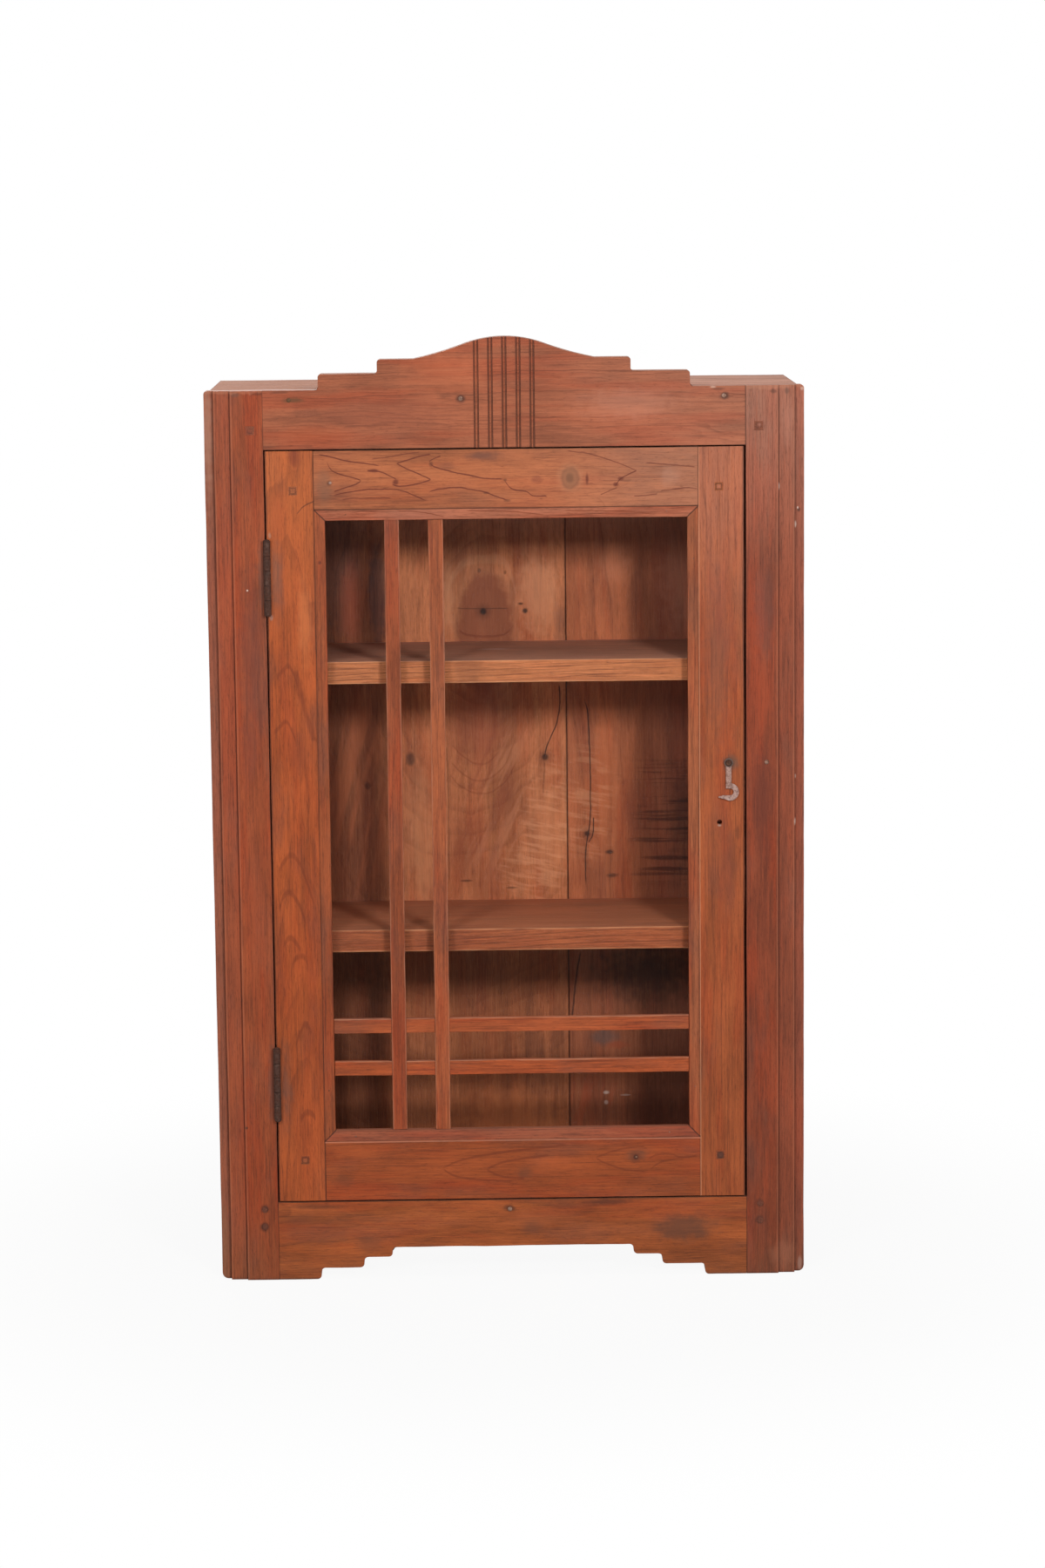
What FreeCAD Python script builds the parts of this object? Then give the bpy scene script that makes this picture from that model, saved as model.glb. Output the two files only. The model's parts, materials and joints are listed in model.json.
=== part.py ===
import FreeCAD, Part
import Sketcher
import math
import os
import re

# Straight display cupboard with one glazed door: a face frame of stepped stiles with a
# crested top rail and an arched apron, a boarded case with two shelves, a framed door
# with glazing bars, a pair of butt hinges and a turning hook.
# The front faces -Y and +Z is up. The origin lies on the floor under the middle.

document = FreeCAD.newDocument("Cupboard")
sheet = document.addObject("Spreadsheet::Sheet", "Sizes")

# Driving dimensions in millimetres
sizes = {
    # case
    "case_width": 610,
    "case_height": 928,
    "case_depth": 200,
    "side_inset": 6,
    "side_thick": 20,
    "top_thick": 20,
    "bottom_thick": 20,
    "back_thick": 12,
    "back_joint_offset": 65,
    "board_gap": 0.4,
    "housing_depth": 6,
    # face frame stiles, stepped back twice along the outer edge
    "stile_width": 60,
    "stile_thick": 22,
    "outer_step_width": 10,
    "outer_step_depth": 8,
    "inner_step_width": 17,
    "inner_step_depth": 3,
    # crested top rail
    "top_rail_height": 60,
    "first_rise": 16,
    "first_width": 377,
    "second_rise": 14,
    "second_width": 257,
    "crest_rise": 22,
    "crest_width": 184,
    "crest_cap_width": 80,
    "crest_cap_drop": 7,
    "crest_flank_radius": 325,
    "flute_pitch": 14.2,
    "flute_width": 5.2,
    "flute_depth": 1.8,
    "flute_bead_radius": 1.3,
    # arched apron
    "apron_height": 83,
    "arch_width": 402,
    "arch_rise": 12,
    "arch_middle_width": 312,
    "arch_middle_rise": 11,
    "arch_inner_width": 252,
    "arch_inner_rise": 10.5,
    # tenons and pegs of the face frame
    "tenon_length": 40,
    "tenon_thick": 8,
    "tenon_setback": 7,
    "tenon_shoulder": 12,
    "apron_tenon_shoulder": 2,
    "joint_clearance": 0.2,
    "case_peg_size": 9,
    "case_peg_inset": 13,
    "case_peg_drop": 40.5,
    "case_peg_length": 18,
    "foot_peg_radius": 3,
    "foot_peg_inset": 14,
    "foot_peg_height": 57.5,
    "foot_peg_spacing": 18,
    # shelves
    "shelf_thick": 23,
    "shelf_setback": 22,
    "lower_shelf_rise": 284,
    "upper_shelf_rise": 281,
    # nails
    "nail_radius": 1.2,
    "nail_head_radius": 2.2,
    "nail_head_thick": 1,
    "nail_length": 46,
    "stile_nail_inset": 21,
    "stile_nail_length": 18,
    "fit_clearance": 0.1,
    # door
    "door_thick": 20,
    "hinge_gap": 2.2,
    "latch_gap": 3,
    "door_gap": 1.5,
    "hinge_stile_width": 48,
    "latch_stile_width": 45.5,
    "door_top_rail_width": 60,
    "door_low_rail_width": 63,
    "door_tenon_length": 34,
    "door_tenon_thick": 6,
    "door_tenon_setback": 5,
    "door_tenon_shoulder": 10,
    "door_peg_size": 9,
    "door_peg_inset": 21,
    "door_peg_rise": 19.6,
    "door_peg_length": 16,
    # glazing
    "lip_width": 8,
    "lip_thick": 6,
    "glass_thick": 3,
    "glass_clearance": 1,
    "bead_width": 11,
    "bead_setback": 0.5,
    "bead_bevel": 2.5,
    "bead_pin_radius": 0.8,
    "bead_pin_length": 14,
    "bar_width": 15,
    "bar_space": 30,
    "bar_side_margin": 60,
    "bar_low_margin": 58,
    "bar_setback": 3.5,
    "cross_bar_setback": 4.8,
    "bar_end_gap": 0.3,
    # hinges
    "hinge_height": 76,
    "upper_hinge_drop": 90.5,
    "lower_hinge_rise": 87.5,
    "barrel_radius": 3.75,
    "barrel_offset": 4.1,
    "leaf_thick": 1.6,
    "leaf_depth": 17,
    "leaf_gap": 0.5,
    "knuckle_gap": 0.35,
    "hinge_pin_radius": 2,
    "hinge_pin_clearance": 0.05,
    "hinge_pin_head_radius": 3,
    "hinge_pin_head_thick": 1.2,
    "screw_radius": 1.6,
    "screw_head_radius": 3,
    "screw_length": 15,
    # hook
    "hook_thick": 2.6,
    "hook_standoff": 0.5,
    "hook_inset": 15.3,
    "hook_offset": 66.5,
    "hook_eye_radius": 4.6,
    "hook_shank_width": 5.8,
    "hook_drop": 30.3,
    "hook_throat_offset": 1.5,
    "hook_throat_radius": 3.6,
    "hook_bow_radius": 9,
    "hook_tip_reach": 12,
    "hook_tip_rise": 3.2,
    "hook_tip_thick": 1.4,
    "hook_screw_radius": 1.9,
    "hook_screw_length": 16,
    "hook_screw_clearance": 0.08,
    "hook_screw_head_radius": 3.7,
    "hook_screw_head_crown": 2.4,
    "hook_screw_head_thick": 2,
    "hook_head_gap": 0.3,
    "spare_hole_radius": 2.7,
    "spare_hole_inset": 24.5,
    "spare_hole_drop": 62,
    # every cut runs past its face by this much
    "overrun": 2,
}

flute_steps = (-2, -1, 0, 1, 2)
knuckle_count = 5
rail_nail_shares = (-0.89, -0.18, 0.91)
apron_nail_share = -0.012
back_nail_shares = (-0.9, -0.35, 0.5, 0.9)
bead_pin_shares = (0.082, 0.918)
hinge_screw_shares = (0.17, 0.5, 0.83)
hinge_screw_depth_share = 0.6

# Places that follow from the driving dimensions
places = {
    "front": "-(case_depth - barrel_offset - barrel_radius) / 2",
    "back": "front + case_depth",
    "half_width": "case_width / 2",
    "opening_half": "half_width - stile_width",
    "opening_top": "case_height - top_rail_height",
    "frame_back": "front + stile_thick",
    "side_outside": "half_width - side_inset",
    "side_inside": "side_outside - side_thick",
    "back_inside": "back - back_thick",
    "bottom_top": "apron_height",
    "lower_shelf_top": "bottom_top + lower_shelf_rise",
    "upper_shelf_top": "lower_shelf_top + upper_shelf_rise",
    "tenon_front": "front + tenon_setback",
    "tenon_back": "tenon_front + tenon_thick",
    "tenon_end": "opening_half + tenon_length",
    "first_top": "case_height + first_rise",
    "second_top": "first_top + second_rise",
    "crest_top": "second_top + crest_rise",
    "arch_middle": "arch_rise + arch_middle_rise",
    "arch_top": "arch_middle + arch_inner_rise",
    "door_left": "-opening_half + hinge_gap",
    "door_right": "opening_half - latch_gap",
    "door_low": "apron_height + door_gap",
    "door_top": "opening_top - door_gap",
    "door_back": "front + door_thick",
    "glaze_left": "door_left + hinge_stile_width",
    "glaze_right": "door_right - latch_stile_width",
    "glaze_low": "door_low + door_low_rail_width",
    "glaze_top": "door_top - door_top_rail_width",
    "lip_front": "door_back - lip_thick",
    "glass_front": "lip_front - glass_thick",
    "bead_front": "front + bead_setback",
    "sight_left": "glaze_left + bead_width",
    "sight_right": "glaze_right - bead_width",
    "sight_low": "glaze_low + bead_width",
    "sight_top": "glaze_top - bead_width",
    "bar_front": "front + bar_setback",
    "cross_bar_front": "front + cross_bar_setback",
    "lap_plane": "(cross_bar_front + glass_front) / 2",
    "hinge_x": "-opening_half + leaf_thick + leaf_gap / 2",
    "hinge_y": "front - barrel_offset",
    "upper_hinge_low": "door_top - upper_hinge_drop - hinge_height",
    "lower_hinge_low": "door_low + lower_hinge_rise",
    "leaf_back": "front + leaf_depth",
    "knuckle_height": "hinge_height / %d" % knuckle_count,
    "hook_x": "door_right - hook_inset",
    "hook_height": "(door_low + door_top) / 2 + hook_offset",
    "hook_back": "front - hook_standoff",
    "hook_front": "hook_back - hook_thick",
    "throat_x": "hook_x + hook_throat_offset",
    "throat_z": "hook_height - hook_drop",
}

for row, (alias, value) in enumerate(sizes.items(), start=1):
    sheet.set("A%d" % row, alias)
    sheet.set("B%d" % row, str(value))
    sheet.setAlias("B%d" % row, alias)
document.recompute()


def spelled(text, show):
    # writes a formula of plain words out in full, with each driving size given by show
    def spell(word):
        name = word.group()
        if name in places:
            return "(" + spelled(places[name], show) + ")"
        return show(name) if name in sizes else name
    return re.sub(r"[a-z_]+", spell, text)


def formula(text):
    return spelled(text, lambda name: "Sizes." + name)


def number(text):
    return FreeCAD.Units.Quantity(spelled(text, lambda name: str(sizes[name]))).Value


def bind(item, **formulas):
    for name, text in formulas.items():
        item.setExpression(name, formula(text))
    return item


def set_at(item, start):
    for axis, text in zip("xyz", start):
        item.setExpression("Placement.Base." + axis, formula(text))
    return item


def block(name, across, deep, tall):
    item = document.addObject("Part::Box", name)
    spans = {"Length": across, "Width": deep, "Height": tall}
    for size, (low, high) in spans.items():
        item.setExpression(size, formula("(%s) - (%s)" % (high, low)))
    return set_at(item, (across[0], deep[0], tall[0]))


# each direction turns a rod, which is drawn along Z, about an axis
turns = {
    "+X": (FreeCAD.Vector(0, 1, 0), 90),
    "-X": (FreeCAD.Vector(0, 1, 0), -90),
    "+Y": (FreeCAD.Vector(1, 0, 0), -90),
    "-Y": (FreeCAD.Vector(1, 0, 0), 90),
    "+Z": (FreeCAD.Vector(0, 0, 1), 0),
    "-Z": (FreeCAD.Vector(1, 0, 0), 180),
}


def along(start, direction, distance):
    moved = list(start)
    axis = "XYZ".index(direction[1])
    moved[axis] = "%s %s (%s)" % (start[axis], direction[0], distance)
    return moved


def rod(name, radius, start, direction, length):
    item = document.addObject("Part::Cylinder", name)
    bind(item, Radius=radius, Height=length)
    item.Placement.Rotation = FreeCAD.Rotation(*turns[direction])
    return set_at(item, start)


def taper(name, near_radius, far_radius, start, direction, length):
    item = document.addObject("Part::Cone", name)
    bind(item, Radius1=near_radius, Radius2=far_radius, Height=length)
    item.Placement.Rotation = FreeCAD.Rotation(*turns[direction])
    return set_at(item, start)


def fuse(name, items):
    item = document.addObject("Part::MultiFuse", name)
    item.Shapes = items
    item.Refine = True
    return item


def cut(name, base, tools):
    item = document.addObject("Part::Cut", name)
    item.Base = base
    item.Tool = tools[0] if len(tools) == 1 else fuse(name + "_tools", tools)
    item.Refine = True
    return item


def group(name, items):
    item = document.addObject("Part::Compound", name)
    item.Links = items
    return item


def on_side(side, low, high):
    # spans are written for the right side and turned over for the left
    return (low, high) if side == "right" else ("-(%s)" % high, "-(%s)" % low)


def at_side(side, place):
    return place if side == "right" else "-(%s)" % place


def between(low, high, share):
    return "%s + (%s - %s) * %s" % (low, high, low, share)


def arc_between(start, end, radius, bulge):
    # bulge is 1 where the arc turns counter-clockwise from start to end, otherwise -1
    middle = (start + end) / 2
    chord = end - start
    across = FreeCAD.Vector(-chord.y, chord.x, 0).normalize()
    centre = middle + across * bulge * math.sqrt(radius ** 2 - (chord.Length / 2) ** 2)
    first, last = (start, end) if bulge > 0 else (end, start)
    angles = [math.atan2(point.y - centre.y, point.x - centre.x) for point in (first, last)]
    return Part.ArcOfCircle(Part.Circle(centre, FreeCAD.Vector(0, 0, 1), radius), *angles)


def plate(name, corners, thick, arcs=None):
    # a board cut to an outline in X and Z, padded backwards from the front face
    arcs = arcs or {}
    body = document.addObject("PartDesign::Body", name)
    sketch = body.newObject("Sketcher::SketchObject", name + "_outline")
    upright = [plane for plane in body.Origin.OriginFeatures if plane.Role == "XZ_Plane"]
    sketch.AttachmentSupport = [(upright[0], "")]
    sketch.MapMode = "FlatFace"
    points = [FreeCAD.Vector(number(x), number(z), 0) for x, z in corners]
    ends = []
    for index, start in enumerate(points):
        end = points[(index + 1) % len(points)]
        if index in arcs:
            radius, bulge = arcs[index]
            sketch.addGeometry(arc_between(start, end, number(radius), bulge))
            ends.append((1, 2) if bulge > 0 else (2, 1))
            rule = sketch.addConstraint(Sketcher.Constraint("Radius", index, number(radius)))
            sketch.setExpression("Constraints[%d]" % rule, formula(radius))
        else:
            sketch.addGeometry(Part.LineSegment(start, end))
            ends.append((1, 2))
    for index, (point, corner) in enumerate(zip(points, corners)):
        before = index - 1 if index else len(points) - 1
        sketch.addConstraint(
            Sketcher.Constraint("Coincident", before, ends[before][1], index, ends[index][0]))
        for kind, value, text in (("DistanceX", point.x, corner[0]), ("DistanceY", point.y, corner[1])):
            if text == "0":
                sketch.addConstraint(Sketcher.Constraint("PointOnObject", index, ends[index][0], -1))
                continue
            rule = sketch.addConstraint(Sketcher.Constraint(kind, index, ends[index][0], value))
            sketch.setExpression("Constraints[%d]" % rule, formula(text))
    pad = body.newObject("PartDesign::Pad", name + "_pad")
    pad.Profile = sketch
    pad.Reversed = True
    bind(pad, Length=thick)
    body.Tip = pad
    body.setExpression("Placement.Base.y", formula("front"))
    return body


def nail(name, start, direction, length):
    # a flat-headed nail and the hole that it leaves
    mouth = along(start, direction, "-overrun")
    solid = fuse(name, [
        rod(name + "_head", "nail_head_radius", start, direction, "nail_head_thick"),
        rod(name + "_shank", "nail_radius", start, direction, length),
    ])
    hole = fuse(name + "_hole", [
        rod(name + "_sink", "nail_head_radius + fit_clearance", mouth, direction,
            "nail_head_thick + overrun"),
        rod(name + "_bore", "nail_radius + fit_clearance", mouth, direction,
            "%s + overrun + fit_clearance" % length),
    ])
    return solid, hole


sides = ("left", "right")
nodes = {}

# Pegs of the face frame: square ones at the top joints, round ones at the apron
case_pegs = []
case_peg_holes = {}
for side in sides:
    peg_x = "opening_half + case_peg_inset"
    peg_z = "case_height - case_peg_drop"
    square = block(
        "case_peg_" + side,
        on_side(side, peg_x + " - case_peg_size / 2", peg_x + " + case_peg_size / 2"),
        ("front", "front + case_peg_length"),
        (peg_z + " - case_peg_size / 2", peg_z + " + case_peg_size / 2"),
    )
    case_pegs.append(square)
    case_peg_holes[side] = [square]
    for level in (0, 1):
        start = (
            at_side(side, "opening_half + foot_peg_inset"),
            "front",
            "foot_peg_height + foot_peg_spacing * %d" % level,
        )
        name = "foot_peg_%s_%d" % (side, level)
        case_pegs.append(rod(name, "foot_peg_radius", start, "+Y", "case_peg_length"))
        case_peg_holes[side].append(
            rod(name + "_hole", "foot_peg_radius + fit_clearance", along(start, "+Y", "-overrun"),
                "+Y", "case_peg_length + overrun + fit_clearance"))
nodes["case_pegs"] = group("case_pegs", case_pegs)

# Nails through the top rail and apron into the boards behind, and one in the right stile
rail_nails = [
    nail("rail_nail_%d" % index,
         ("opening_half * %s" % share, "front", "case_height - top_thick / 2"),
         "+Y", "nail_length")
    for index, share in enumerate(rail_nail_shares)
]
apron_nail = nail(
    "apron_nail", ("opening_half * %s" % apron_nail_share, "front", "bottom_top - bottom_thick / 2"),
    "+Y", "nail_length")
stile_nail = nail(
    "stile_nail", ("opening_half + stile_nail_inset", "front", "hook_height"),
    "+Y", "stile_nail_length")
front_nails = rail_nails + [apron_nail, stile_nail]
nodes["front_nails"] = group("front_nails", [solid for solid, hole in front_nails])

# Tenons of the top rail and the apron, and the mortises that take them
tenon_heights = {
    "top": ("opening_top + tenon_shoulder", "case_height - tenon_shoulder"),
    "apron": ("tenon_shoulder", "apron_height - apron_tenon_shoulder"),
}


def case_tenon(rail, side):
    return block("%s_tenon_%s" % (rail, side), on_side(side, "opening_half - overrun", "tenon_end"),
                 ("tenon_front", "tenon_back"), tenon_heights[rail])


def case_mortise(rail, side):
    return block("%s_mortise_%s" % (rail, side),
                 on_side(side, "opening_half - overrun", "tenon_end + joint_clearance"),
                 ("tenon_front", "tenon_back"), tenon_heights[rail])


# Crested top rail with five beaded flutes
crest = plate(
    "top_rail_board",
    [
        ("-opening_half", "opening_top"),
        ("opening_half", "opening_top"),
        ("opening_half", "case_height"),
        ("first_width / 2", "case_height"),
        ("first_width / 2", "first_top"),
        ("second_width / 2", "first_top"),
        ("second_width / 2", "second_top"),
        ("crest_width / 2", "second_top"),
        ("crest_cap_width / 2", "crest_top - crest_cap_drop"),
        ("-crest_cap_width / 2", "crest_top - crest_cap_drop"),
        ("-crest_width / 2", "second_top"),
        ("-second_width / 2", "second_top"),
        ("-second_width / 2", "first_top"),
        ("-first_width / 2", "first_top"),
        ("-first_width / 2", "case_height"),
        ("-opening_half", "case_height"),
    ],
    "stile_thick",
    {
        7: ("crest_flank_radius", -1),
        8: ("((crest_cap_width / 2)^2 + crest_cap_drop^2) / (2 * crest_cap_drop)", 1),
        9: ("crest_flank_radius", -1),
    },
)
flutes = []
flute_beads = []
for step in flute_steps:
    middle = "flute_pitch * %d" % step
    flutes.append(block(
        "flute_%d" % (step + len(flute_steps)),
        (middle + " - flute_width / 2", middle + " + flute_width / 2"),
        ("front - overrun", "front + flute_depth"),
        ("opening_top - overrun", "crest_top + overrun"),
    ))
    bead = rod("flute_bead_%d" % (step + len(flute_steps)), "flute_bead_radius",
               (middle, "front + flute_depth", "opening_top"), "+Z", "crest_top - opening_top")
    flute_beads.append(bead)
fluted = cut("top_rail_fluted", crest, flutes)
bead_stock = fuse("flute_bead_stock", flute_beads)
beads_cut = document.addObject("Part::Common", "flute_beads_cut")
beads_cut.Base = bead_stock
beads_cut.Tool = crest
nodes["top_rail"] = cut(
    "top_rail",
    fuse("top_rail_stock", [fluted, beads_cut] + [case_tenon("top", side) for side in sides]),
    [case_peg_holes[side][0] for side in sides] + [hole for solid, hole in rail_nails],
)

# Arched apron
arch = [
    ("arch_width / 2", "0"),
    ("arch_width / 2", "arch_rise"),
    ("arch_middle_width / 2", "arch_rise"),
    ("arch_middle_width / 2", "arch_middle"),
    ("arch_inner_width / 2", "arch_middle"),
    ("arch_inner_width / 2", "arch_top"),
]
apron_board = plate(
    "apron_board",
    [("opening_half", "apron_height"), ("-opening_half", "apron_height"), ("-opening_half", "0")]
    + [("-" + x, z) for x, z in arch]
    + arch[::-1]
    + [("opening_half", "0")],
    "stile_thick",
)
nodes["apron"] = cut(
    "apron",
    fuse("apron_stock", [apron_board] + [case_tenon("apron", side) for side in sides]),
    [hole for side in sides for hole in case_peg_holes[side][1:]] + [apron_nail[1]],
)

# Hinges: the case leaf lies on the stile's edge and the door leaf is let into the door
hinges = {"upper": "upper_hinge_low", "lower": "lower_hinge_low"}
hinge_holes = {"case": [], "door": []}
hinge_screws = {"case": [], "door": []}
leaf_spans = {
    "case": ("-opening_half", "-opening_half + leaf_thick"),
    "door": ("hinge_x + leaf_gap / 2", "hinge_x + leaf_gap / 2 + leaf_thick"),
}
screw_ways = {"case": "-X", "door": "+X"}
screw_mouths = {"case": leaf_spans["case"][1], "door": leaf_spans["door"][0]}
knuckles = {"case": (0, 2, 4), "door": (1, 3)}


def hinge_screw(name, start, direction):
    # a countersunk screw with its head level with the leaf, and the hole that it leaves
    solid = fuse(name, [
        taper(name + "_head", "screw_head_radius", "screw_radius", start, direction, "leaf_thick"),
        rod(name + "_shank", "screw_radius", start, direction, "screw_length"),
    ])
    hole = fuse(name + "_hole", [
        taper(name + "_sink", "screw_head_radius + fit_clearance", "screw_radius + fit_clearance",
              start, direction, "leaf_thick"),
        rod(name + "_bore", "screw_radius + fit_clearance", along(start, direction, "-overrun"),
            direction, "screw_length + overrun + fit_clearance"),
    ])
    return solid, hole


def hinge_leaf(hinge, body, low):
    name = "%s_hinge_%s" % (hinge, body)
    other = "door" if body == "case" else "case"
    slack = "knuckle_gap" if body == "door" else "0"
    leaf = [block(name + "_plate", leaf_spans[body], ("hinge_y", "leaf_back"),
                  (low, low + " + hinge_height"))]
    for index in knuckles[body]:
        start = ("hinge_x", "hinge_y", "%s + knuckle_height * %d + %s" % (low, index, slack))
        leaf.append(rod("%s_knuckle_%d" % (name, index), "barrel_radius", start, "+Z",
                        "knuckle_height - 2 * %s" % slack))
    reliefs = []
    for index in knuckles[other]:
        start = ("hinge_x", "hinge_y", "%s + knuckle_height * %d - %s" % (low, index, slack))
        reliefs.append(rod("%s_relief_%d" % (name, index), "barrel_radius + knuckle_gap", start, "+Z",
                           "knuckle_height + 2 * %s" % slack))
    plate_cut = cut(name + "_plate_cut", leaf[0], reliefs)
    bore = rod(name + "_bore", "hinge_pin_radius + hinge_pin_clearance",
               ("hinge_x", "hinge_y", low + " - overrun"), "+Z", "hinge_height + 2 * overrun")
    holes = [bore]
    for index, share in enumerate(hinge_screw_shares):
        start = (screw_mouths[body], "front + leaf_depth * %s" % hinge_screw_depth_share,
                 "%s + hinge_height * %s" % (low, share))
        solid, hole = hinge_screw("%s_screw_%d" % (name, index), start, screw_ways[body])
        hinge_screws[body].append(solid)
        hinge_holes[body].append(hole)
        holes.append(hole)
    return cut(name + "_leaf", fuse(name + "_stock", [plate_cut] + leaf[1:]), holes)


door_leaf_beds = []
for hinge, low in hinges.items():
    for body in ("case", "door"):
        nodes["%s_hinge_%s_leaf" % (hinge, body)] = hinge_leaf(hinge, body, low)
    pin_low = "%s - hinge_pin_head_thick" % low
    nodes[hinge + "_hinge_pin"] = fuse(hinge + "_hinge_pin", [
        rod(hinge + "_pin_shaft", "hinge_pin_radius", ("hinge_x", "hinge_y", low), "+Z", "hinge_height"),
        rod(hinge + "_pin_foot", "hinge_pin_head_radius", ("hinge_x", "hinge_y", pin_low), "+Z",
            "hinge_pin_head_thick"),
        rod(hinge + "_pin_head", "hinge_pin_head_radius",
            ("hinge_x", "hinge_y", low + " + hinge_height"), "+Z", "hinge_pin_head_thick"),
    ])
    door_leaf_beds.append(block(
        hinge + "_leaf_bed", ("door_left - overrun", leaf_spans["door"][1]),
        ("front - overrun", "leaf_back + joint_clearance"),
        ("%s - joint_clearance" % low, "%s + hinge_height + joint_clearance" % low)))
nodes["hinge_case_screws"] = group("hinge_case_screws", hinge_screws["case"])
nodes["hinge_door_screws"] = group("hinge_door_screws", hinge_screws["door"])

# Face frame stiles
for side in sides:
    name = "case_stile_" + side
    outer_edge = "half_width - outer_step_width"
    inner_edge = "half_width - outer_step_width - inner_step_width"
    tall = ("0", "case_height")
    stock = fuse(name + "_stock", [
        block(name + "_face", on_side(side, "opening_half", inner_edge), ("front", "frame_back"), tall),
        block(name + "_inner_step", on_side(side, inner_edge, outer_edge),
              ("front + inner_step_depth", "frame_back"), tall),
        block(name + "_outer_step", on_side(side, outer_edge, "half_width"),
              ("front + outer_step_depth", "frame_back"), tall),
    ])
    tools = [case_mortise(rail, side) for rail in tenon_heights] + case_peg_holes[side]
    tools += hinge_holes["case"] if side == "left" else [stile_nail[1]]
    nodes[name] = cut(name, stock, tools)

# Nails through the back boards into the shelves and the bottom
level_middles = {
    "shelf_upper": "upper_shelf_top - shelf_thick / 2",
    "shelf_lower": "lower_shelf_top - shelf_thick / 2",
    "bottom_board": "bottom_top - bottom_thick / 2",
}
back_nails = {level: [] for level in level_middles}
for level, middle in level_middles.items():
    for index, share in enumerate(back_nail_shares):
        start = ("side_inside * %s" % share, "back", middle)
        back_nails[level].append(nail("back_nail_%s_%d" % (level, index), start, "-Y", "nail_length"))
nodes["back_nails"] = group(
    "back_nails", [solid for level in back_nails.values() for solid, hole in level])

# Boards of the case
housings = {
    "shelf_upper": ("upper_shelf_top - shelf_thick", "upper_shelf_top"),
    "shelf_lower": ("lower_shelf_top - shelf_thick", "lower_shelf_top"),
    "bottom_board": ("bottom_top - bottom_thick", "bottom_top"),
}
housed_fronts = {
    "shelf_upper": "front + shelf_setback",
    "shelf_lower": "front + shelf_setback",
    "bottom_board": "frame_back",
}
for side in sides:
    name = "side_panel_" + side
    board = block(name + "_board", on_side(side, "side_inside", "side_outside"),
                  ("frame_back", "back"), ("0", "case_height - top_thick"))
    grooves = [
        block("%s_%s_groove" % (name, level),
              on_side(side, "side_inside - overrun", "side_inside + housing_depth"),
              ("frame_back - overrun", "back_inside"), span)
        for level, span in housings.items()
    ]
    nodes[name] = cut(name, board, grooves)
for level, span in housings.items():
    reach = "side_inside + housing_depth - joint_clearance"
    board = block(level + "_board", ("-(%s)" % reach, reach), (housed_fronts[level], "back_inside"), span)
    holes = [hole for solid, hole in back_nails[level]]
    if level == "bottom_board":
        holes.append(apron_nail[1])
    nodes[level] = cut(level, board, holes)
nodes["top_board"] = cut(
    "top_board",
    block("top_board_stock", ("-(side_outside)", "side_outside"), ("frame_back", "back"),
          ("case_height - top_thick", "case_height")),
    [hole for solid, hole in rail_nails],
)
back_spans = {
    "back_board_left": ("-(side_inside)", "back_joint_offset - board_gap / 2"),
    "back_board_right": ("back_joint_offset + board_gap / 2", "side_inside"),
}
for name, span in back_spans.items():
    board = block(name + "_board", span, ("back_inside", "back"),
                  ("bottom_top - bottom_thick", "case_height - top_thick"))
    nodes[name] = cut(name, board, [hole for level in back_nails.values() for solid, hole in level])

# Door frame: stiles run through, rails are tenoned between them
door_levels = {
    "low": ("door_low", "glaze_low"),
    "top": ("glaze_top", "door_top"),
}
door_peg_heights = {"low": "glaze_low - door_peg_rise", "top": "glaze_top + door_peg_rise"}
door_edges = {
    "left": ("door_left", "glaze_left"),
    "right": ("glaze_right", "door_right"),
}
peg_centres = {"left": "glaze_left - door_peg_inset", "right": "glaze_right + door_peg_inset"}
door_pegs = {}
for side in sides:
    for level in door_levels:
        x = peg_centres[side]
        z = door_peg_heights[level]
        door_pegs[side, level] = block(
            "door_peg_%s_%s" % (side, level),
            (x + " - door_peg_size / 2", x + " + door_peg_size / 2"),
            ("front", "front + door_peg_length"),
            (z + " - door_peg_size / 2", z + " + door_peg_size / 2"))
nodes["door_pegs"] = group("door_pegs", list(door_pegs.values()))
door_tenon_deep = ("front + door_tenon_setback", "front + door_tenon_setback + door_tenon_thick")
door_tenon_tall = {
    "low": ("door_low + door_tenon_shoulder", "glaze_low - door_tenon_shoulder"),
    "top": ("glaze_top + door_tenon_shoulder", "door_top - door_tenon_shoulder"),
}


def door_tenon(name, side, level, slack):
    spans = {
        "left": ("glaze_left - door_tenon_length - " + slack, "glaze_left + overrun"),
        "right": ("glaze_right - overrun", "glaze_right + door_tenon_length + " + slack),
    }
    return block(name, spans[side], door_tenon_deep, door_tenon_tall[level])


# Glazing beads, mitred at the corners and bevelled towards the glass
bead_runs = {
    "left": ("glaze_low", "glaze_top"),
    "right": ("glaze_low", "glaze_top"),
    "low": ("glaze_left", "glaze_right"),
    "top": ("glaze_left", "glaze_right"),
}
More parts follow.
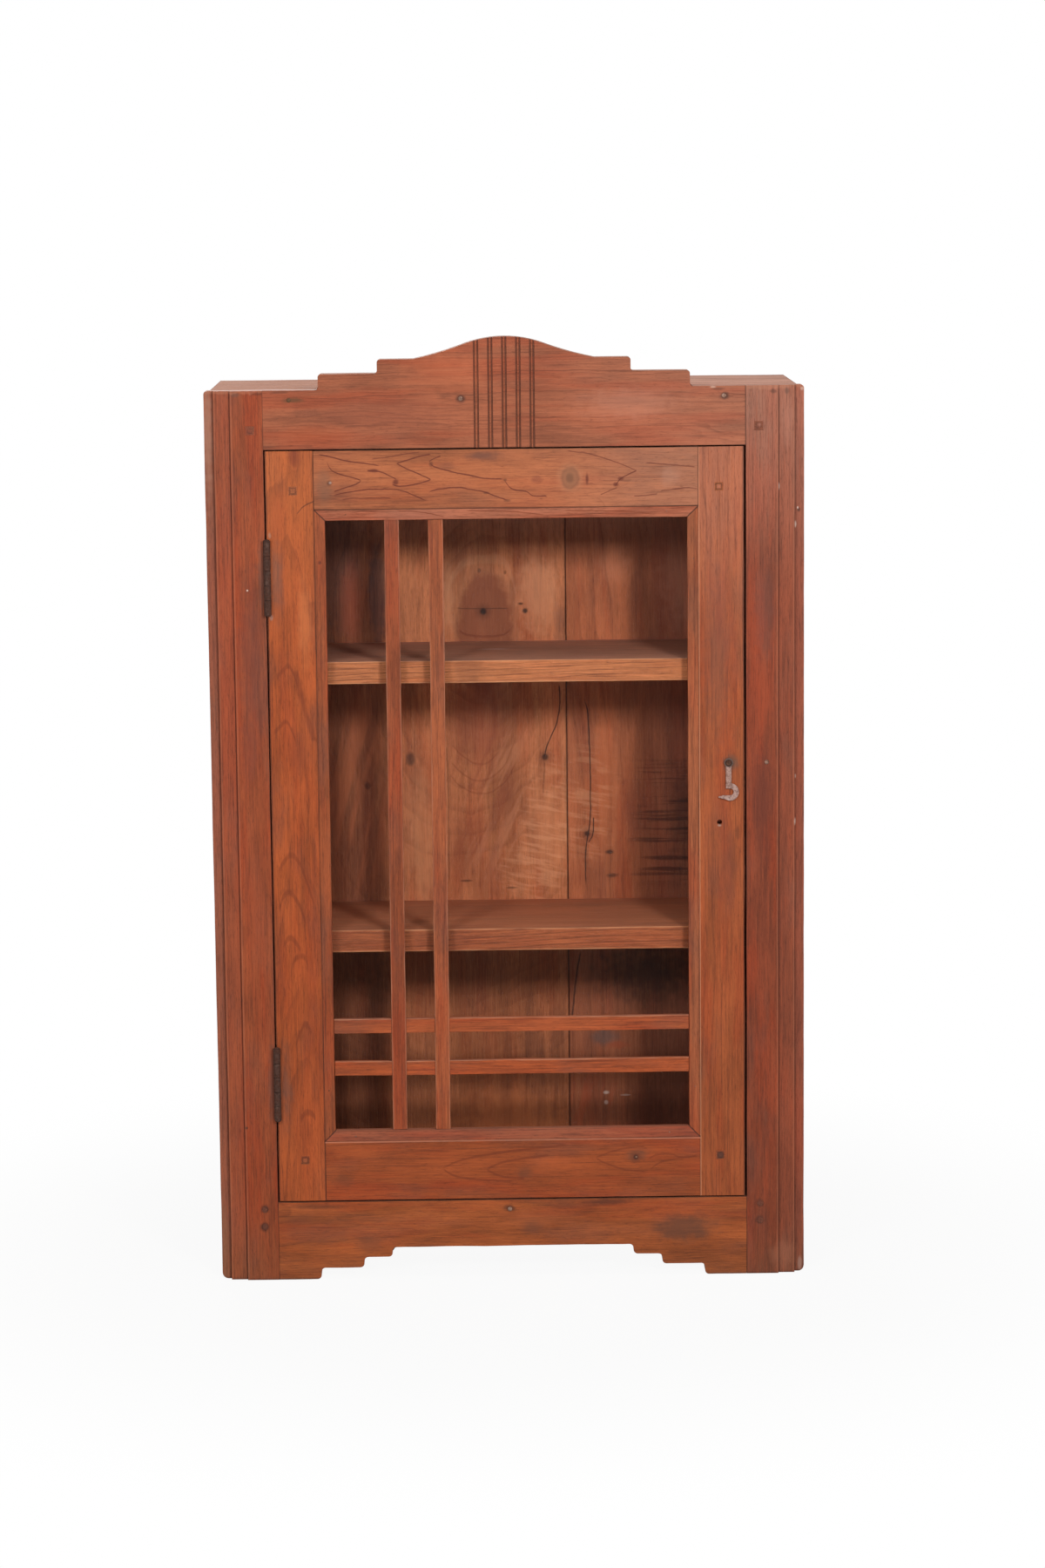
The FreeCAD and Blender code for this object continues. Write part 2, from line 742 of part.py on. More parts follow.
# the wedge's own Y runs from the frame to the glass opening, and its X along the bead
bead_starts = {
    "left": ("glaze_left", "glaze_top"),
    "right": ("glaze_right", "glaze_low"),
    "low": ("glaze_left", "glaze_low"),
    "top": ("glaze_right", "glaze_top"),
}
bead_turns = {"low": 0, "right": -90, "top": 180, "left": 90}
bead_pins = []
pin_holes = {edge: [] for edge in bead_runs}
bead_bodies = {}
for edge, (low, high) in bead_runs.items():
    wedge = document.addObject("Part::Wedge", "glazing_bead_%s_stock" % edge)
    run = "(%s) - (%s)" % (high, low)
    deep = "glass_front - bead_front"
    bind(wedge, Xmin="0", Xmax=run, X2min="bead_width", X2max="%s - bead_width" % run,
         Ymin="0", Ymax="bead_width", Zmin="0", Zmax=deep, Z2min="0",
         Z2max="%s - bead_bevel" % deep)
    upright = FreeCAD.Rotation(FreeCAD.Vector(1, 0, 0), 90)
    wedge.Placement.Rotation = FreeCAD.Rotation(FreeCAD.Vector(0, 1, 0), bead_turns[edge]) * upright
    x, z = bead_starts[edge]
    bead_bodies[edge] = set_at(wedge, (x, "glass_front", z))
    for index, share in enumerate(bead_pin_shares):
        name = "bead_pin_%s_%d" % (edge, index)
        reach = "bead_pin_length"
        spot = between(low, high, share)
        ways = {
            "left": (("glaze_left + bead_width / 2", spot), "-X"),
            "right": (("glaze_right - bead_width / 2", spot), "+X"),
            "low": ((spot, "glaze_low + bead_width / 2"), "-Z"),
            "top": ((spot, "glaze_top - bead_width / 2"), "+Z"),
        }
        (x, z), way = ways[edge]
        # slanting half way between straight back and straight out into the frame
        out = FreeCAD.Rotation(*turns[way]).multVec(FreeCAD.Vector(0, 0, 1))
        slant = FreeCAD.Rotation(FreeCAD.Vector(0, 0, 1), out + FreeCAD.Vector(0, 1, 0))
        start = (x, "bead_front + bead_bevel / 2", z)
        pin = document.addObject("Part::Cylinder", name)
        bind(pin, Radius="bead_pin_radius", Height=reach)
        hole = document.addObject("Part::Cylinder", name + "_hole")
        bind(hole, Radius="bead_pin_radius + fit_clearance / 2", Height=reach + " + fit_clearance")
        mouth = document.addObject("Part::Cylinder", name + "_mouth")
        bind(mouth, Radius="bead_pin_radius + fit_clearance / 2", Height="overrun")
        for item, turn in ((pin, slant), (hole, slant),
                           (mouth, FreeCAD.Rotation(FreeCAD.Vector(0, 0, 1), FreeCAD.Vector(0, -1, 0)))):
            item.Placement.Rotation = turn
            set_at(item, start)
        bead_pins.append(pin)
        pin_holes[edge].append(fuse(name + "_drill", [hole, mouth]))
    nodes["glazing_bead_" + edge] = cut("glazing_bead_" + edge, bead_bodies[edge], pin_holes[edge])
nodes["bead_pins"] = group("bead_pins", bead_pins)

# Stiles and rails of the door
for side, edge in door_edges.items():
    name = "door_stile_" + side
    lip = {
        "left": ("glaze_left - overrun", "glaze_left + lip_width"),
        "right": ("glaze_right - lip_width", "glaze_right + overrun"),
    }
    stock = fuse(name + "_stock", [
        block(name + "_board", edge, ("front", "door_back"), ("door_low", "door_top")),
        block(name + "_lip", lip[side], ("lip_front", "door_back"), ("glaze_low", "glaze_top")),
    ])
    tools = [door_tenon("%s_mortise_%s" % (name, level), side, level, "joint_clearance")
             for level in door_levels]
    tools += [door_pegs[side, level] for level in door_levels] + pin_holes[side]
    if side == "left":
        tools += door_leaf_beds + hinge_holes["door"]
    else:
        spare_start = ("door_right - spare_hole_inset", "front - overrun", "hook_height - spare_hole_drop")
        tools.append(rod("spare_hole", "spare_hole_radius", spare_start, "+Y", "door_thick + 2 * overrun"))
        tools.append(rod("hook_screw_hole", "hook_screw_radius + fit_clearance",
                         ("hook_x", "front - overrun", "hook_height"),
                         "+Y", "hook_screw_length + overrun + fit_clearance"))
    nodes[name] = cut(name, stock, tools)
for level, span in door_levels.items():
    name = "door_rail_" + level
    lip = {
        "low": ("glaze_low - overrun", "glaze_low + lip_width"),
        "top": ("glaze_top - lip_width", "glaze_top + overrun"),
    }
    stock = fuse(name + "_stock", [
        block(name + "_board", ("glaze_left", "glaze_right"), ("front", "door_back"), span),
        block(name + "_lip", ("glaze_left + lip_width", "glaze_right - lip_width"),
              ("lip_front", "door_back"), lip[level]),
    ] + [door_tenon("%s_tenon_%s" % (name, side), side, level, "0") for side in sides])
    nodes[name] = cut(name, stock, [door_pegs[side, level] for side in sides] + pin_holes[level])

# Glass and glazing bars, the upright bars lapped over the cross bars
nodes["glass_pane"] = block(
    "glass_pane",
    ("glaze_left + glass_clearance", "glaze_right - glass_clearance"),
    ("glass_front", "lip_front"),
    ("glaze_low + glass_clearance", "glaze_top - glass_clearance"))
bar_order = ("first", "second")
bar_spans = {}
cross_spans = {}
for index, order in enumerate(bar_order):
    shift = "(bar_width + bar_space) * %d" % index
    bar_low = "sight_left + bar_side_margin + " + shift
    cross_low = "sight_low + bar_low_margin + " + shift
    bar_spans[order] = (bar_low, bar_low + " + bar_width")
    cross_spans[order] = (cross_low, cross_low + " + bar_width")
for order in bar_order:
    bar = block("glazing_bar_%s_stock" % order, bar_spans[order], ("bar_front", "glass_front"),
                ("sight_low + bar_end_gap", "sight_top - bar_end_gap"))
    laps = [
        block("glazing_bar_%s_lap_%s" % (order, crossed),
              bar_spans[order], ("lap_plane", "glass_front + overrun"), cross_spans[crossed])
        for crossed in bar_order
    ]
    nodes["glazing_bar_" + order] = cut("glazing_bar_" + order, bar, laps)
    cross = block("cross_bar_%s_stock" % order, ("sight_left + bar_end_gap", "sight_right - bar_end_gap"),
                  ("cross_bar_front", "glass_front"), cross_spans[order])
    laps = [
        block("cross_bar_%s_lap_%s" % (order, crossed), bar_spans[crossed],
              ("cross_bar_front - overrun", "lap_plane"), cross_spans[order])
        for crossed in bar_order
    ]
    nodes["cross_bar_" + order] = cut("cross_bar_" + order, cross, laps)

# Hook, hanging from its screw, with the mouth towards the glass
hook_deep = ("hook_front", "hook_back")
arm = document.addObject("Part::Wedge", "hook_arm")
bind(arm, Xmin="0", Xmax="hook_thick", X2min="0", X2max="hook_thick", Ymin="0", Ymax="hook_tip_reach",
     Zmin="0", Zmax="hook_bow_radius - hook_throat_radius", Z2min="hook_tip_rise",
     Z2max="hook_tip_rise + hook_tip_thick")
arm.Placement.Rotation = FreeCAD.Rotation(FreeCAD.Vector(0, 0, 1), 90)
set_at(arm, ("throat_x", "hook_front", "throat_z - hook_bow_radius"))
hook_blank = fuse("hook_blank", [
    cut("hook_bow_open",
        rod("hook_bow", "hook_bow_radius", ("throat_x", "hook_back", "throat_z"), "-Y", "hook_thick"),
        [block("hook_bow_relief", ("throat_x - hook_bow_radius - overrun", "hook_x - hook_shank_width / 2"),
               ("hook_front - overrun", "hook_back + overrun"),
               ("throat_z", "throat_z + hook_bow_radius + overrun"))]),
    rod("hook_eye", "hook_eye_radius", ("hook_x", "hook_back", "hook_height"), "-Y", "hook_thick"),
    block("hook_shank", ("hook_x - hook_shank_width / 2", "hook_x + hook_shank_width / 2"), hook_deep,
          ("throat_z", "hook_height")),
    arm,
])
nodes["hook"] = cut("hook", hook_blank, [
    rod("hook_throat", "hook_throat_radius", ("throat_x", "hook_back + overrun", "throat_z"), "-Y",
        "hook_thick + 2 * overrun"),
    block("hook_mouth", ("throat_x - hook_tip_reach - overrun", "throat_x"),
          ("hook_front - overrun", "hook_back + overrun"),
          ("throat_z - hook_throat_radius", "throat_z + hook_throat_radius")),
    rod("hook_bore", "hook_screw_radius + hook_screw_clearance",
        ("hook_x", "hook_back + overrun", "hook_height"), "-Y", "hook_thick + 2 * overrun"),
])
head_back = "hook_front - hook_head_gap"
nodes["hook_screw"] = fuse("hook_screw", [
    rod("hook_screw_shank", "hook_screw_radius", ("hook_x", head_back, "hook_height"), "+Y",
        "hook_thick + hook_head_gap + hook_standoff + hook_screw_length"),
    taper("hook_screw_head", "hook_screw_head_radius", "hook_screw_head_crown",
          ("hook_x", head_back, "hook_height"), "-Y", "hook_screw_head_thick"),
])

# Every object is sound before any file is written
document.recompute()
for item in document.Objects:
    if "Invalid" in item.State or "Error" in item.State:
        raise RuntimeError("%s does not compute: %s" % (item.Label, item.State))
os.makedirs("parts", exist_ok=True)
for node, item in nodes.items():
    item.Label = node
    if item.Shape.isNull() or not item.Shape.isValid():
        raise RuntimeError("%s has no sound shape" % node)
for node, item in nodes.items():
    item.Shape.exportStep("parts/%s.step" % node)
    print("%-24s %d solids" % (node, len(item.Shape.Solids)))
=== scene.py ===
import json
import math
import bmesh
import bpy
from mathutils import Matrix, Vector, noise


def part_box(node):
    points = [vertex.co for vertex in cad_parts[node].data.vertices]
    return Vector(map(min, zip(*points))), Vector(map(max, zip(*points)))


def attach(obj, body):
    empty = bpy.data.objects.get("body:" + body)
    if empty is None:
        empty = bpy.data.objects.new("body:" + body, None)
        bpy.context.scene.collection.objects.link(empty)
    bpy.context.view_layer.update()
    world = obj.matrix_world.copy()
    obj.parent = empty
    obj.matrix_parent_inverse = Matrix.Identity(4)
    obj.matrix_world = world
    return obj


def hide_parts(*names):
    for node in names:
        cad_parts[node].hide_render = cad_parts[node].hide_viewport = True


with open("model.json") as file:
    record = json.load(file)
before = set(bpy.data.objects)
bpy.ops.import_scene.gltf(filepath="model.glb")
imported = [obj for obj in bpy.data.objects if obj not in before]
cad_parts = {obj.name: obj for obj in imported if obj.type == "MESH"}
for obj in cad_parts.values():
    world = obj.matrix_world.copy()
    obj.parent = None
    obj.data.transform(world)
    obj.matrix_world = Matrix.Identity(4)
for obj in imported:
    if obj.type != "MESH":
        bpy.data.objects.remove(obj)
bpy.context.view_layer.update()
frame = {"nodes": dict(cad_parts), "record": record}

noise.seed_set(11)  # the same wander each run
mm = 0.001
perMetre = 1000
mid = 0.5  # the middle of a noise
seedSteps = (1.71, 0.93, 2.37)  # moves each seed's noise to its own place
weldGap = 0.00001
flatAngle = math.radians(0.5)
arrisAngle = math.radians(40)
sharpAngle = math.radians(28)
bodyOf = {node: body for body, nodes in frame["record"]["behaviour"]["bodies"].items() for node in nodes}


def light(tone, amount=1.0):  # a screen tone as Blender's own colour, lighter or darker
    def linear(part):
        share = part / 255
        return share / 12.92 if share < 0.04045 else ((share + 0.055) / 1.055) ** 2.4
    return tuple(linear(part) * amount for part in tone) + (1.0,)


def operator(operation, reflected=False):  # one of Python's operators as a Math node
    def apply(field, other):
        return field.math(operation, other, field) if reflected else field.math(operation, field, other)
    return apply


class Field:  # a socket whose value changes over the surface
    def __init__(self, paint, socket):
        self.paint = paint
        self.socket = socket

    def math(self, operation, first, second=0.0):
        return self.paint.add("Math", {"operation": operation}, {0: first, 1: second})

    __add__ = operator("ADD")
    __radd__ = operator("ADD", True)
    __sub__ = operator("SUBTRACT")
    __rsub__ = operator("SUBTRACT", True)
    __mul__ = operator("MULTIPLY")
    __rmul__ = operator("MULTIPLY", True)
    __truediv__ = operator("DIVIDE")
    __rtruediv__ = operator("DIVIDE", True)
    __pow__ = operator("POWER")
    __rpow__ = operator("POWER", True)
    most = operator("MAXIMUM")

    def __abs__(self):
        return self.math("ABSOLUTE", self)

    def root(self):
        return self.math("SQRT", self)

    def fract(self):
        return self.math("FRACT", self)

    def floor(self):
        return self.math("FLOOR", self)

    def ease(self, start, end):  # 0 at start, 1 at end, either way round
        return self.paint.add("MapRange", {"interpolation_type": "SMOOTHSTEP"},
                              {"Value": self, "From Min": start, "From Max": end})


class Paint:  # the nodes of one material, or of the studio's air
    def __init__(self, name, owner=None):
        self.material = owner or bpy.data.materials.new(name)
        self.material.use_nodes = True
        self.tree = self.material.node_tree
        self.tree.nodes.clear()

    def add(self, kind, settings=None, sockets=None, output=0):
        node = self.tree.nodes.new("ShaderNode" + kind)
        for key, value in (settings or {}).items():
            if key == "stops":
                self.bend(node.mapping, value)
            else:
                setattr(node, key, value)
        for key, value in (sockets or {}).items():
            if isinstance(value, Field):
                self.tree.links.new(value.socket, node.inputs[key])
            else:
                node.inputs[key].default_value = value
        return Field(self, node.outputs[output]) if node.outputs else node

    def bend(self, mapping, stops):  # a smooth curve through stops between 0 and 1
        points = mapping.curves[0].points
        points[0].location = stops[0]
        points[-1].location = stops[-1]
        for stop in stops[1:-1]:
            points.new(*stop)
        for point in points:
            point.handle_type = "AUTO_CLAMPED"
        mapping.update()

    def coordinates(self):
        return self.add("TexCoord", output="Object")

    def axes(self, place):  # x, y and z in mm
        node = self.add("SeparateXYZ", {}, {0: place}).socket.node
        return [Field(self, socket) * perMetre for socket in node.outputs]

    def noise(self, place, size, seed, detail=2.0, roughness=0.5):  # size in mm along x, y and z
        shift = [seed * step for step in seedSteps]
        scale = [perMetre / part for part in size]
        moved = self.add("Mapping", {}, {"Vector": place, "Location": shift, "Scale": scale})
        sockets = {"Vector": moved, "Scale": 1.0, "Detail": detail, "Roughness": roughness}
        return self.add("TexNoise", {}, sockets)

    def blend(self, first, second, share):
        return self.add("Mix", {"data_type": "RGBA"}, {0: share, 6: first, 7: second}, 2)

    def bump(self, height, strength, distance):
        return self.add("Bump", {}, {"Height": height, "Strength": strength, "Distance": distance})

    def finish(self, sockets):
        shader = self.add("BsdfPrincipled", {}, sockets)
        self.add("OutputMaterial", {}, {"Surface": shader})
        return self.material


teakLook = {  # what every board starts from; tones as on a screen, sizes in mm
    "grain": "upright",
    "tone": (150, 80, 50),
    "veinTone": (74, 36, 26),
    "emberTone": (160, 62, 30),
    "smokeTone": (112, 70, 56),
    "paleTone": (196, 136, 106),
    # dark pores, knot cores, peg gaps and joints, and the painted shade on an arris beside a gap
    "grimeAndShadeTone": (46, 28, 23),
    "contrast": 0.23,  # light and dark either side of the tone
    "ember": 0.42,  # share of redder patches
    "smoke": 0.36,  # share of greyer, older patches
    "heart": (140, 30),  # from the board's middle to the heart of the tree, across and through
    "lean": (0.0, 0.03),  # drift of the heart for each mm along the grain
    "ringGap": 4.2,
    "line": (0.55, 0.92),  # where in a ring the dark line starts and is full
    "sway": (6.0, 190, 42),  # how far, length along, length across
    "ripple": (1.0, 38, 11),
    "veins": 0.45,
    "bands": 0.16,  # whole rings lighter or darker
    "fibre": 0.48,
    "pores": 0.35,
    "fine": 1.0,  # width of the strands, streaks and specks
    "sides": ("wear", "wear"),  # the low and the high long edge: worn pale, darkened with grime and painted shade, or plain
    "wear": 0.3,
    "wearWidth": 1.4,
    # share and width of a dark arris beside a gap: grime with painted shade
    "shadeAndGrime": 0.6,
    "shadeAndGrimeWidth": 0.7,
    "dustAndSheen": 0.22,  # dust on what faces up; on the shelves and the top it is also painted sheen
    "dustAndSheenTone": (196, 150, 126),
    "knots": (),  # x, z, radius, how far the rings are pushed, darkness
    "marks": (),  # x, z, width, height, tone, share: small ragged spots, among them a painted highlight
    "patches": (),  # x, z, width, height, tone, share and, where it isn't soft, sharpness: clouds, some of them painted light and shade
    "slants": (),  # x, z, width, height, lean, streak width, streak length, tone, share
    "flecks": (),  # x, z, width, height, share: silky bars across the grain
    "lines": (),  # points, half width, tone, share: veins and cracks
    "frames": (),  # x, z, half size, line width, share: the dark gap round a square peg
    "seams": (),  # axis, place, half width, tone, share: joints and creases, and painted highlight and shade lines along arrises
    "fades": (),  # axis, where it starts, where it is full, tone, share; some are painted shade, painted light and painted sheen
    "roughness": 0.52,
    "specular": 0.18,
    "seed": 1,
}
grainNoises = {  # length along and width across the grain, detail, roughness
    "patch": (210, 30, 2.0, 0.5),
    "mottle": (120, 26, 4.0, 0.6),
    "ember": (170, 22, 3.0, 0.6),
    "smoke": (110, 34, 4.0, 0.6),
    "strand": (140, 4.2, 3.0, 0.6),
    "streak": (60, 2.4, 2.0, 0.5),
    "speck": (16, 3.0, 4.0, 0.7),
    "fibre": (42, 1.3, 4.0, 0.7),
    "pore": (6.5, 0.5, 1.0, 0.5),
    "rub": (48, 14, 4.0, 0.6),
}
grainReach = {  # where a noise starts to show and where it is full
    "patch": (0.30, 0.60),
    "mottle": (0.30, 0.70),
    "ember": (0.44, 0.66),
    "smoke": (0.46, 0.70),
    "pore": (0.60, 0.72),
}
grainStrokes = (  # noise, start, full, share of the fibre, how much lighter than the wood, 0 for dark
    ("strand", 0.50, 0.74, 0.6, 0),
    ("streak", 0.56, 0.70, 0.6, 0),
    ("speck", 0.50, 0.76, 0.9, 0),
    ("speck", 0.46, 0.24, 0.7, 1.4),
    ("fibre", 0.50, 0.74, 1.2, 0),
    ("fibre", 0.49, 0.26, 1.2, 1.5),
)
fineNoises = ("strand", "streak", "speck")  # narrower on a close-grained board
grainAxes = {  # along, across and through as x, y, z indexes, then the two axes of the face
    "upright": (2, 0, 1, 0, 2),
    "level": (0, 2, 1, 0, 2),
    "shelf": (0, 1, 2, 0, 1),
    "side": (2, 1, 0, 1, 2),
    "endOn": (1, 0, 2, 0, 2),
}
# how any board grows and ages; a pair runs from nothing to full, sizes in mm
raggedRim = (9, 0.9)  # size and strength of ragged rims
ringEnd = (1.0, 0.95)
darkRings = (0.25, 0.95)
faintRing = 0.15
bandRise = (0.0, 0.8)
knotPush = (3.2, 0.0)  # in knot radii, as the next two
knotHalo = (2.4, 0.6)
knotCore = (1.0, 0.35)
haloShare = 0.45
fadeRim = 8
cloudRim = 1.1
cloudSway = 0.3
softRim = 0.2  # sharpness of a cloud that gives none
spotRim = (1.0, 0.4)
slantReach = (0.46, 0.62)
fleckReach = (0.46, 0.64)
fleckSize = (30, 30, 5.0)
fleckLean = 0.2
fleckSway = 0.8
lineSway = 1.6
lineStart = (-0.01, 0.05)  # shares of a line's length
lineEnd = (1.01, 0.95)
lineCore = 0.3  # full width of a line or a mark, as a share of its rim
seamCore = 0.25
dripSize = (90, 30, 4.6)
dripReach = (0.47, 0.62)
dripEnds = 30
dripSway = 90
fluteEnd = (5, 4)
wearSway = 4.0
shadeAndGrimeCore = 0.2
mitreGap = (1.3, 0.4)
mitreShare = 0.75
upFacing = (0.45, 0.95)
leastDustAndSheen = 0.5
topSway = 14.0
topRag = 5
topRim = (-1.2, 1.2)
grainBump = (0.35, 0.35)  # strength, height
rag = {"halo": 0.4, "knot": 0.25, "mark": 0.7, "line": 0.6, "frame": 0.5, "edge": 0.8}  # how ragged each is
roughMix = {"fibre": 0.25, "pits": 0.1, "dustAndSheen": 0.3, "wear": 0.12}
heightMix = {"fibre": 0.5, "line": 0.25, "pits": 0.45, "mottle": 0.5}
seeds = {"first": 9.7, "step": 4.3, "ragged": 61.6, "sway": 0.3, "ripple": 5.1, "drip": 44.0}
slantSeed = 0.11  # for each mm across
fleckSeed = 0.17


def steady(points, axis):  # true where a line never turns back along this axis
    steps = [second[axis] - first[axis] for first, second in zip(points, points[1:])]
    return min(steps) > 0 or max(steps) < 0


class Teak:  # the wood of one board
    def __init__(self, look):
        self.look = look
        self.paint = Paint(look["name"] + "_teak")
        self.spot = self.paint.coordinates()
        self.parts = self.paint.axes(self.spot)
        self.alongAxis, self.acrossAxis, throughAxis, self.faceX, self.faceZ = grainAxes[look["grain"]]
        low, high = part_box(look["node"])
        self.low = [part / mm for part in low]
        self.high = [part / mm for part in high]
        self.half = [(high[i] - low[i]) / 2 / mm for i in range(3)]
        centred = [self.parts[i] - (low[i] + high[i]) / 2 / mm for i in range(3)]
        self.along = centred[self.alongAxis]
        self.across = centred[self.acrossAxis]
        self.through = centred[throughAxis]
        self.depth = self.half[throughAxis]
        self.noises = {}
        for index, (name, (length, width, detail, roughness)) in enumerate(grainNoises.items()):
            share = look["fine"] if name in fineNoises else 1.0
            shift = seeds["step"] * index + seeds["first"]
            self.noises[name] = self.stretched(length, width * share, shift, detail, roughness)
        size, strength = raggedRim
        rim = self.paint.noise(self.spot, [size] * 3, look["seed"] + seeds["ragged"], 3.0)
        self.ragged = (rim - mid) * strength
        self.colour = None
        self.worn = 0.0
        self.inside = 1.0
        if "inside" in look:  # marks show on the inner face only
            self.inside = self.parts[1].ease(look["inside"] + 1, look["inside"] - 1)

    def stretched(self, length, width, shift, detail=2.0, roughness=0.5):  # noise drawn out along the grain
        size = [width] * 3
        size[self.alongAxis] = length
        return self.paint.noise(self.spot, size, self.look["seed"] + shift, detail, roughness)

    def slanted(self, x, z, size, shift, detail):  # noise on leaning axes
        spot = self.paint.add("CombineXYZ", {}, {0: x * mm, 1: self.parts[1] * mm, 2: z * mm})
        return self.paint.noise(spot, size, self.look["seed"] + shift, detail)

    def shown(self, name):
        return self.noises[name].ease(*grainReach[name])

    def cover(self, tone, share, lighter=1.0):
        self.colour = self.paint.blend(self.colour, light(tone, lighter), share)

    def spread(self, x, z, width, height):  # 0 in the middle of a spot, 1 on its rim
        aside = (self.parts[self.faceX] - x) / width
        above = (self.parts[self.faceZ] - z) / height
        return (aside * aside + above * above).root()

    def rings(self):  # growth rings round a leaning heart, pushed aside by knots
        look = self.look
        heartAcross = self.across - look["heart"][0] - self.along * look["lean"][0]
        heartThrough = self.through - look["heart"][1] - self.along * look["lean"][1]
        reach = (heartAcross * heartAcross + heartThrough * heartThrough).root()
        for (far, length, width), shift in ((look[kind], seeds[kind]) for kind in ("sway", "ripple")):
            reach = reach + (self.stretched(length, width, shift) - mid) * (far * 2)
        for x, z, radius, push, dark in look["knots"]:
            reach = reach + self.spread(x, z, radius, radius).ease(*knotPush) * push
        return reach / look["ringGap"]

    def grow(self):  # the plain wood
        look = self.look
        tone, vein, contrast = look["tone"], look["veinTone"], look["contrast"]
        rings = self.rings()
        phase = rings.fract()
        self.line = phase.ease(*look["line"]) * phase.ease(*ringEnd)
        ringShare = self.paint.add("TexWhiteNoise", {"noise_dimensions": "1D"}, {"W": rings.floor()})
        dark = ringShare.ease(*darkRings) * (1 - faintRing) + faintRing
        mottle = self.shown("mottle")
        self.colour = self.paint.blend(light(tone, 1 + contrast), light(tone, 1 - contrast), mottle)
        self.cover(look["emberTone"], self.shown("ember") * look["ember"])
        self.cover(look["smokeTone"], self.shown("smoke") * look["smoke"])
        for axis, start, full, tint, share in look["fades"]:
            rim = self.ragged * min(fadeRim, abs(full - start) / 2)
            self.cover(tint, (self.parts[axis] + rim).ease(start, full) * self.inside * share)
        self.cover(vein, ringShare * phase.ease(*bandRise) * look["bands"])
        self.cover(vein, self.line * dark * self.shown("patch") * look["veins"])
        for name, start, full, share, lighter in grainStrokes:
            stroke = self.noises[name].ease(start, full) * (look["fibre"] * share)
            self.cover(tone if lighter else vein, stroke, lighter or 1.0)
        self.cover(look["grimeAndShadeTone"], self.shown("pore") * look["pores"])

    def figure(self):  # clouds, some of them painted light and shade, slanting streaks and silky bars
        look = self.look
        across, upward = self.parts[0], self.parts[2]
        mottle = self.noises["mottle"] - mid
        for x, z, width, height, tint, share, *rim in look["patches"]:
            sharp = rim[0] if rim else softRim
            cloud = self.spread(x, z, width, height) + self.ragged * (cloudRim - sharp)
            self.cover(tint, (cloud + mottle * cloudSway).ease(1.0, sharp) * share)
        for x, z, width, height, lean, wide, long, tint, share in look["slants"]:
            streak = self.slanted(across - upward * lean, upward, (wide, wide, long), x * slantSeed, 3.0)
            area = self.spread(x, z, width, height).ease(*spotRim)
            self.cover(tint, streak.ease(*slantReach) * area * share)
        for x, z, width, height, share in look["flecks"]:
            bars = self.slanted(across, upward + across * fleckLean, fleckSize, x * fleckSeed, 2.0)
            area = (self.spread(x, z, width, height) + mottle * fleckSway).ease(*spotRim)
            self.cover(look["paleTone"], bars.ease(*fleckReach) * area * share)

    def trace(self, points, width):  # 1 on a smooth line through a few points, 0 beside it
        spans = [max(spot[i] for spot in points) - min(spot[i] for spot in points) for i in range(2)]
        run = max((0, 1), key=lambda axis: spans[axis] if steady(points, axis) else 0)
        rise = 1 - run
        axes = (self.faceX, self.faceZ)
        ordered = sorted(points, key=lambda spot: spot[run])
        start, length = ordered[0][run], spans[run]
        base = min(spot[rise] for spot in points)
        tall = max(spans[rise], 1.0)
        stops = [((spot[run] - start) / length, (spot[rise] - base) / tall) for spot in ordered]
        share = (self.parts[axes[run]] - start) / length
        course = self.paint.add("FloatCurve", {"stops": stops}, {"Value": share}) * tall + base
        aside = abs(self.parts[axes[rise]] - course + self.ragged * lineSway)
        stroke = (aside + self.ragged * (width * rag["line"])).ease(width, width * lineCore)
        return stroke * share.ease(*lineStart) * share.ease(*lineEnd)

    def blemish(self):  # knots, spots, cracks, joints and peg holes, and a few painted highlight and shade lines
        look, ragged = self.look, self.ragged
        for x, z, radius, push, dark in look["knots"]:
            spread = self.spread(x, z, radius, radius)
            halo = (spread + ragged * rag["halo"]).ease(*knotHalo)
            self.cover(look["veinTone"], halo * (dark * haloShare))
            self.cover(look["grimeAndShadeTone"], (spread + ragged * rag["knot"]).ease(*knotCore) * dark)
        for x, z, width, height, tint, share in look["marks"]:
            spread = self.spread(x, z, width, height) + ragged * rag["mark"]
            self.cover(tint, spread.ease(1.0, lineCore) * share)
        if "stains" in look:  # dark lines that water left across the grain
            start, full, fromZ, toZ, tint, share = look["stains"]
            drip = self.paint.noise(self.spot, dripSize, look["seed"] + seeds["drip"], 3.0)
            edge = (self.parts[0] + (drip - mid) * dripSway).ease(start, full)
            span = self.parts[2].ease(fromZ, fromZ + dripEnds) * self.parts[2].ease(toZ, toZ - dripEnds)
            self.cover(tint, drip.ease(*dripReach) * edge * span * share)
        for points, width, tint, share in look["lines"]:
            self.cover(tint, self.trace(points, width) * share)
        for axis, spot, width, tint, share in look["seams"]:
            gap = abs(self.parts[axis] - spot) + ragged * (width / 2)
            self.cover(tint, gap.ease(width, width * seamCore) * share)
        for x, z, size, width, share in look["frames"]:
            ring = abs(self.parts[self.faceX] - x).most(abs(self.parts[self.faceZ] - z)) - size
            gap = (abs(ring) + ragged * rag["frame"]).ease(width, width * lineCore)
            self.cover(look["grimeAndShadeTone"], gap * share)
        if "hollows" in look:  # darker colour in the depth of the cut flutes
            reachOut, fromDepth, toDepth, tint, share = look["hollows"]
            depth = self.parts[1] - self.low[1]
            flutes = abs(self.parts[0]).ease(reachOut + 1, reachOut) * depth.ease(fromDepth, toDepth)
            self.cover(tint, flutes * depth.ease(*fluteEnd) * share)

